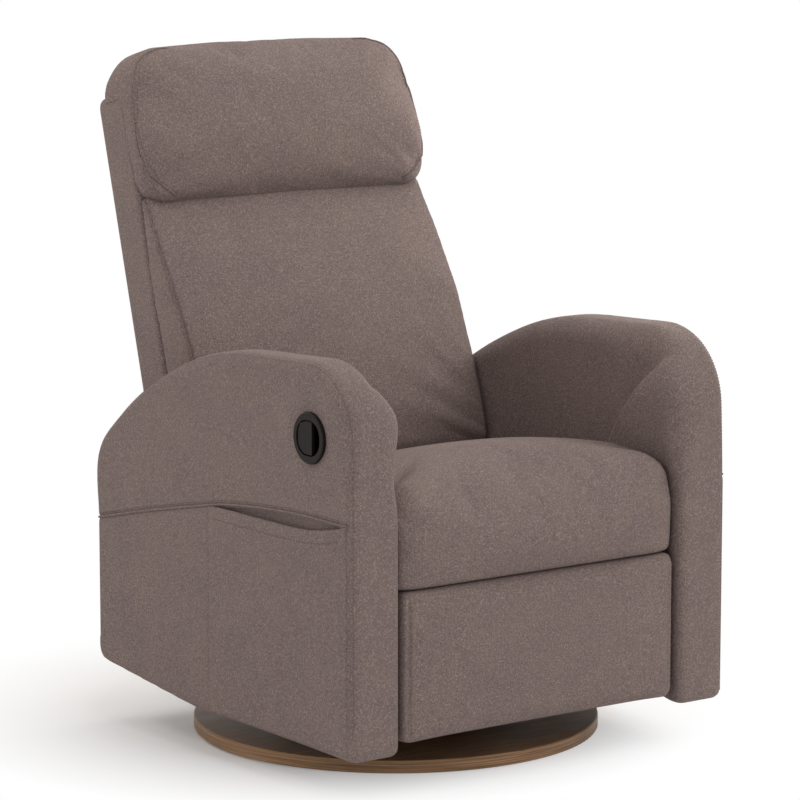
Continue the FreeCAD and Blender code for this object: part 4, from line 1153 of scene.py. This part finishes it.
def seen_direct(tree, path):
    """1 for what the camera sees, straight on, mirrored or through glass."""
    direct = path.outputs["Is Camera Ray"]
    for kind in ("Is Glossy Ray", "Is Transmission Ray"):
        either = tree.nodes.new("ShaderNodeMath")
        either.operation = "MAXIMUM"
        tree.links.new(direct, either.inputs[0])
        tree.links.new(path.outputs[kind], either.inputs[1])
        direct = either.outputs[0]
    return direct


floor_corners = [(FLOOR_SIZE * x, FLOOR_SIZE * y, 0) for x, y in ((-1, -1), (1, -1), (1, 1), (-1, 1))]
floor_mesh = bpy.data.meshes.new("floor")
floor_mesh.from_pydata(floor_corners, [], [(0, 1, 2, 3)])
floor = bpy.data.objects.new("floor", floor_mesh)
scene.collection.objects.link(floor)
floor_nodes = Nodes("pale_floor")
floor_mesh.materials.append(floor_nodes.material)
floor_nodes.shader.inputs["Base Color"].default_value = (0.98, 0.98, 0.98, 1)
floor_nodes.shader.inputs["Roughness"].default_value = 0.9
floor_nodes.shader.inputs["Specular IOR Level"].default_value = 0.0
white = floor_nodes.add("Emission", Color=(1, 1, 1, 1), Strength=1.0)
away = floor_nodes.add("VectorMath", Vector=floor_nodes.place)
away.operation = "DISTANCE"
away.inputs[1].default_value = SHADOW_MIDDLE
fade = floor_nodes.span(away.outputs["Value"], 0.34, 0.62, to_low=0.1)
path = floor_nodes.tree.nodes.new("ShaderNodeLightPath")
seen = floor_nodes.tree.nodes.new("ShaderNodeMath")
seen.operation = "MULTIPLY"
floor_nodes.tree.links.new(fade, seen.inputs[0])
floor_nodes.tree.links.new(seen_direct(floor_nodes.tree, path), seen.inputs[1])
both = floor_nodes.tree.nodes.new("ShaderNodeMixShader")
floor_nodes.tree.links.new(seen.outputs[0], both.inputs[0])
floor_nodes.tree.links.new(floor_nodes.shader.outputs[0], both.inputs[1])
floor_nodes.tree.links.new(white.outputs[0], both.inputs[2])
floor_nodes.tree.links.new(both.outputs[0], floor_nodes.tree.nodes["Material Output"].inputs["Surface"])

world = bpy.data.worlds.new("studio")
scene.world = world
world.use_nodes = True
tree = world.node_tree
ambient = tree.nodes["Background"]
ambient.inputs["Color"].default_value = (1.0, 0.985, 0.97, 1)
ambient.inputs["Strength"].default_value = 0.65
backdrop = tree.nodes.new("ShaderNodeBackground")
backdrop.inputs["Color"].default_value = (1, 1, 1, 1)
backdrop.inputs["Strength"].default_value = 1.0
path = tree.nodes.new("ShaderNodeLightPath")
choose = tree.nodes.new("ShaderNodeMixShader")
tree.links.new(seen_direct(tree, path), choose.inputs[0])
tree.links.new(ambient.outputs[0], choose.inputs[1])
tree.links.new(backdrop.outputs[0], choose.inputs[2])
tree.links.new(choose.outputs[0], tree.nodes["World Output"].inputs["Surface"])


def area_light(name, place, target, size, power, tone):
    """Square lamp at a place, turned to its target."""
    data = bpy.data.lights.new(name, "AREA")
    data.shape = "SQUARE"
    data.size = size
    data.energy = power
    data.color = tone
    lamp = bpy.data.objects.new(name, data)
    lamp.location = place
    lamp.rotation_mode = "QUATERNION"
    lamp.rotation_quaternion = (Vector(target) - Vector(place)).to_track_quat("-Z", "Y")
    scene.collection.objects.link(lamp)


area_light("key", (1.9, -2.0, 2.9), (0, 0.1, 0.65), 1.9, 31.0, (1.0, 0.98, 0.95))
area_light("rim", (-1.3, 1.1, 1.7), (-0.27, 0.35, 0.85), 0.5, 5.5, (1.0, 0.93, 0.86))
area_light("kicker", (1.35, 0.2, 1.05), (0.25, 0.25, 0.8), 0.5, 9.0, (1.0, 0.92, 0.84))
area_light("top", (0.2, 0.0, 3.4), (0, 0, 0.4), 2.8, 22.0, (1.0, 1.0, 1.0))

camera_data = bpy.data.cameras.new("camera")
camera_data.sensor_width = 36.0
camera_data.lens = 174.6
camera = bpy.data.objects.new("camera", camera_data)
camera.location = (-3.4367, -4.6841, 1.4461)
camera.rotation_euler = (math.radians(90 - 9.20), 0, math.radians(-36.33))
scene.collection.objects.link(camera)
scene.camera = camera
scene.view_settings.view_transform = "Standard"
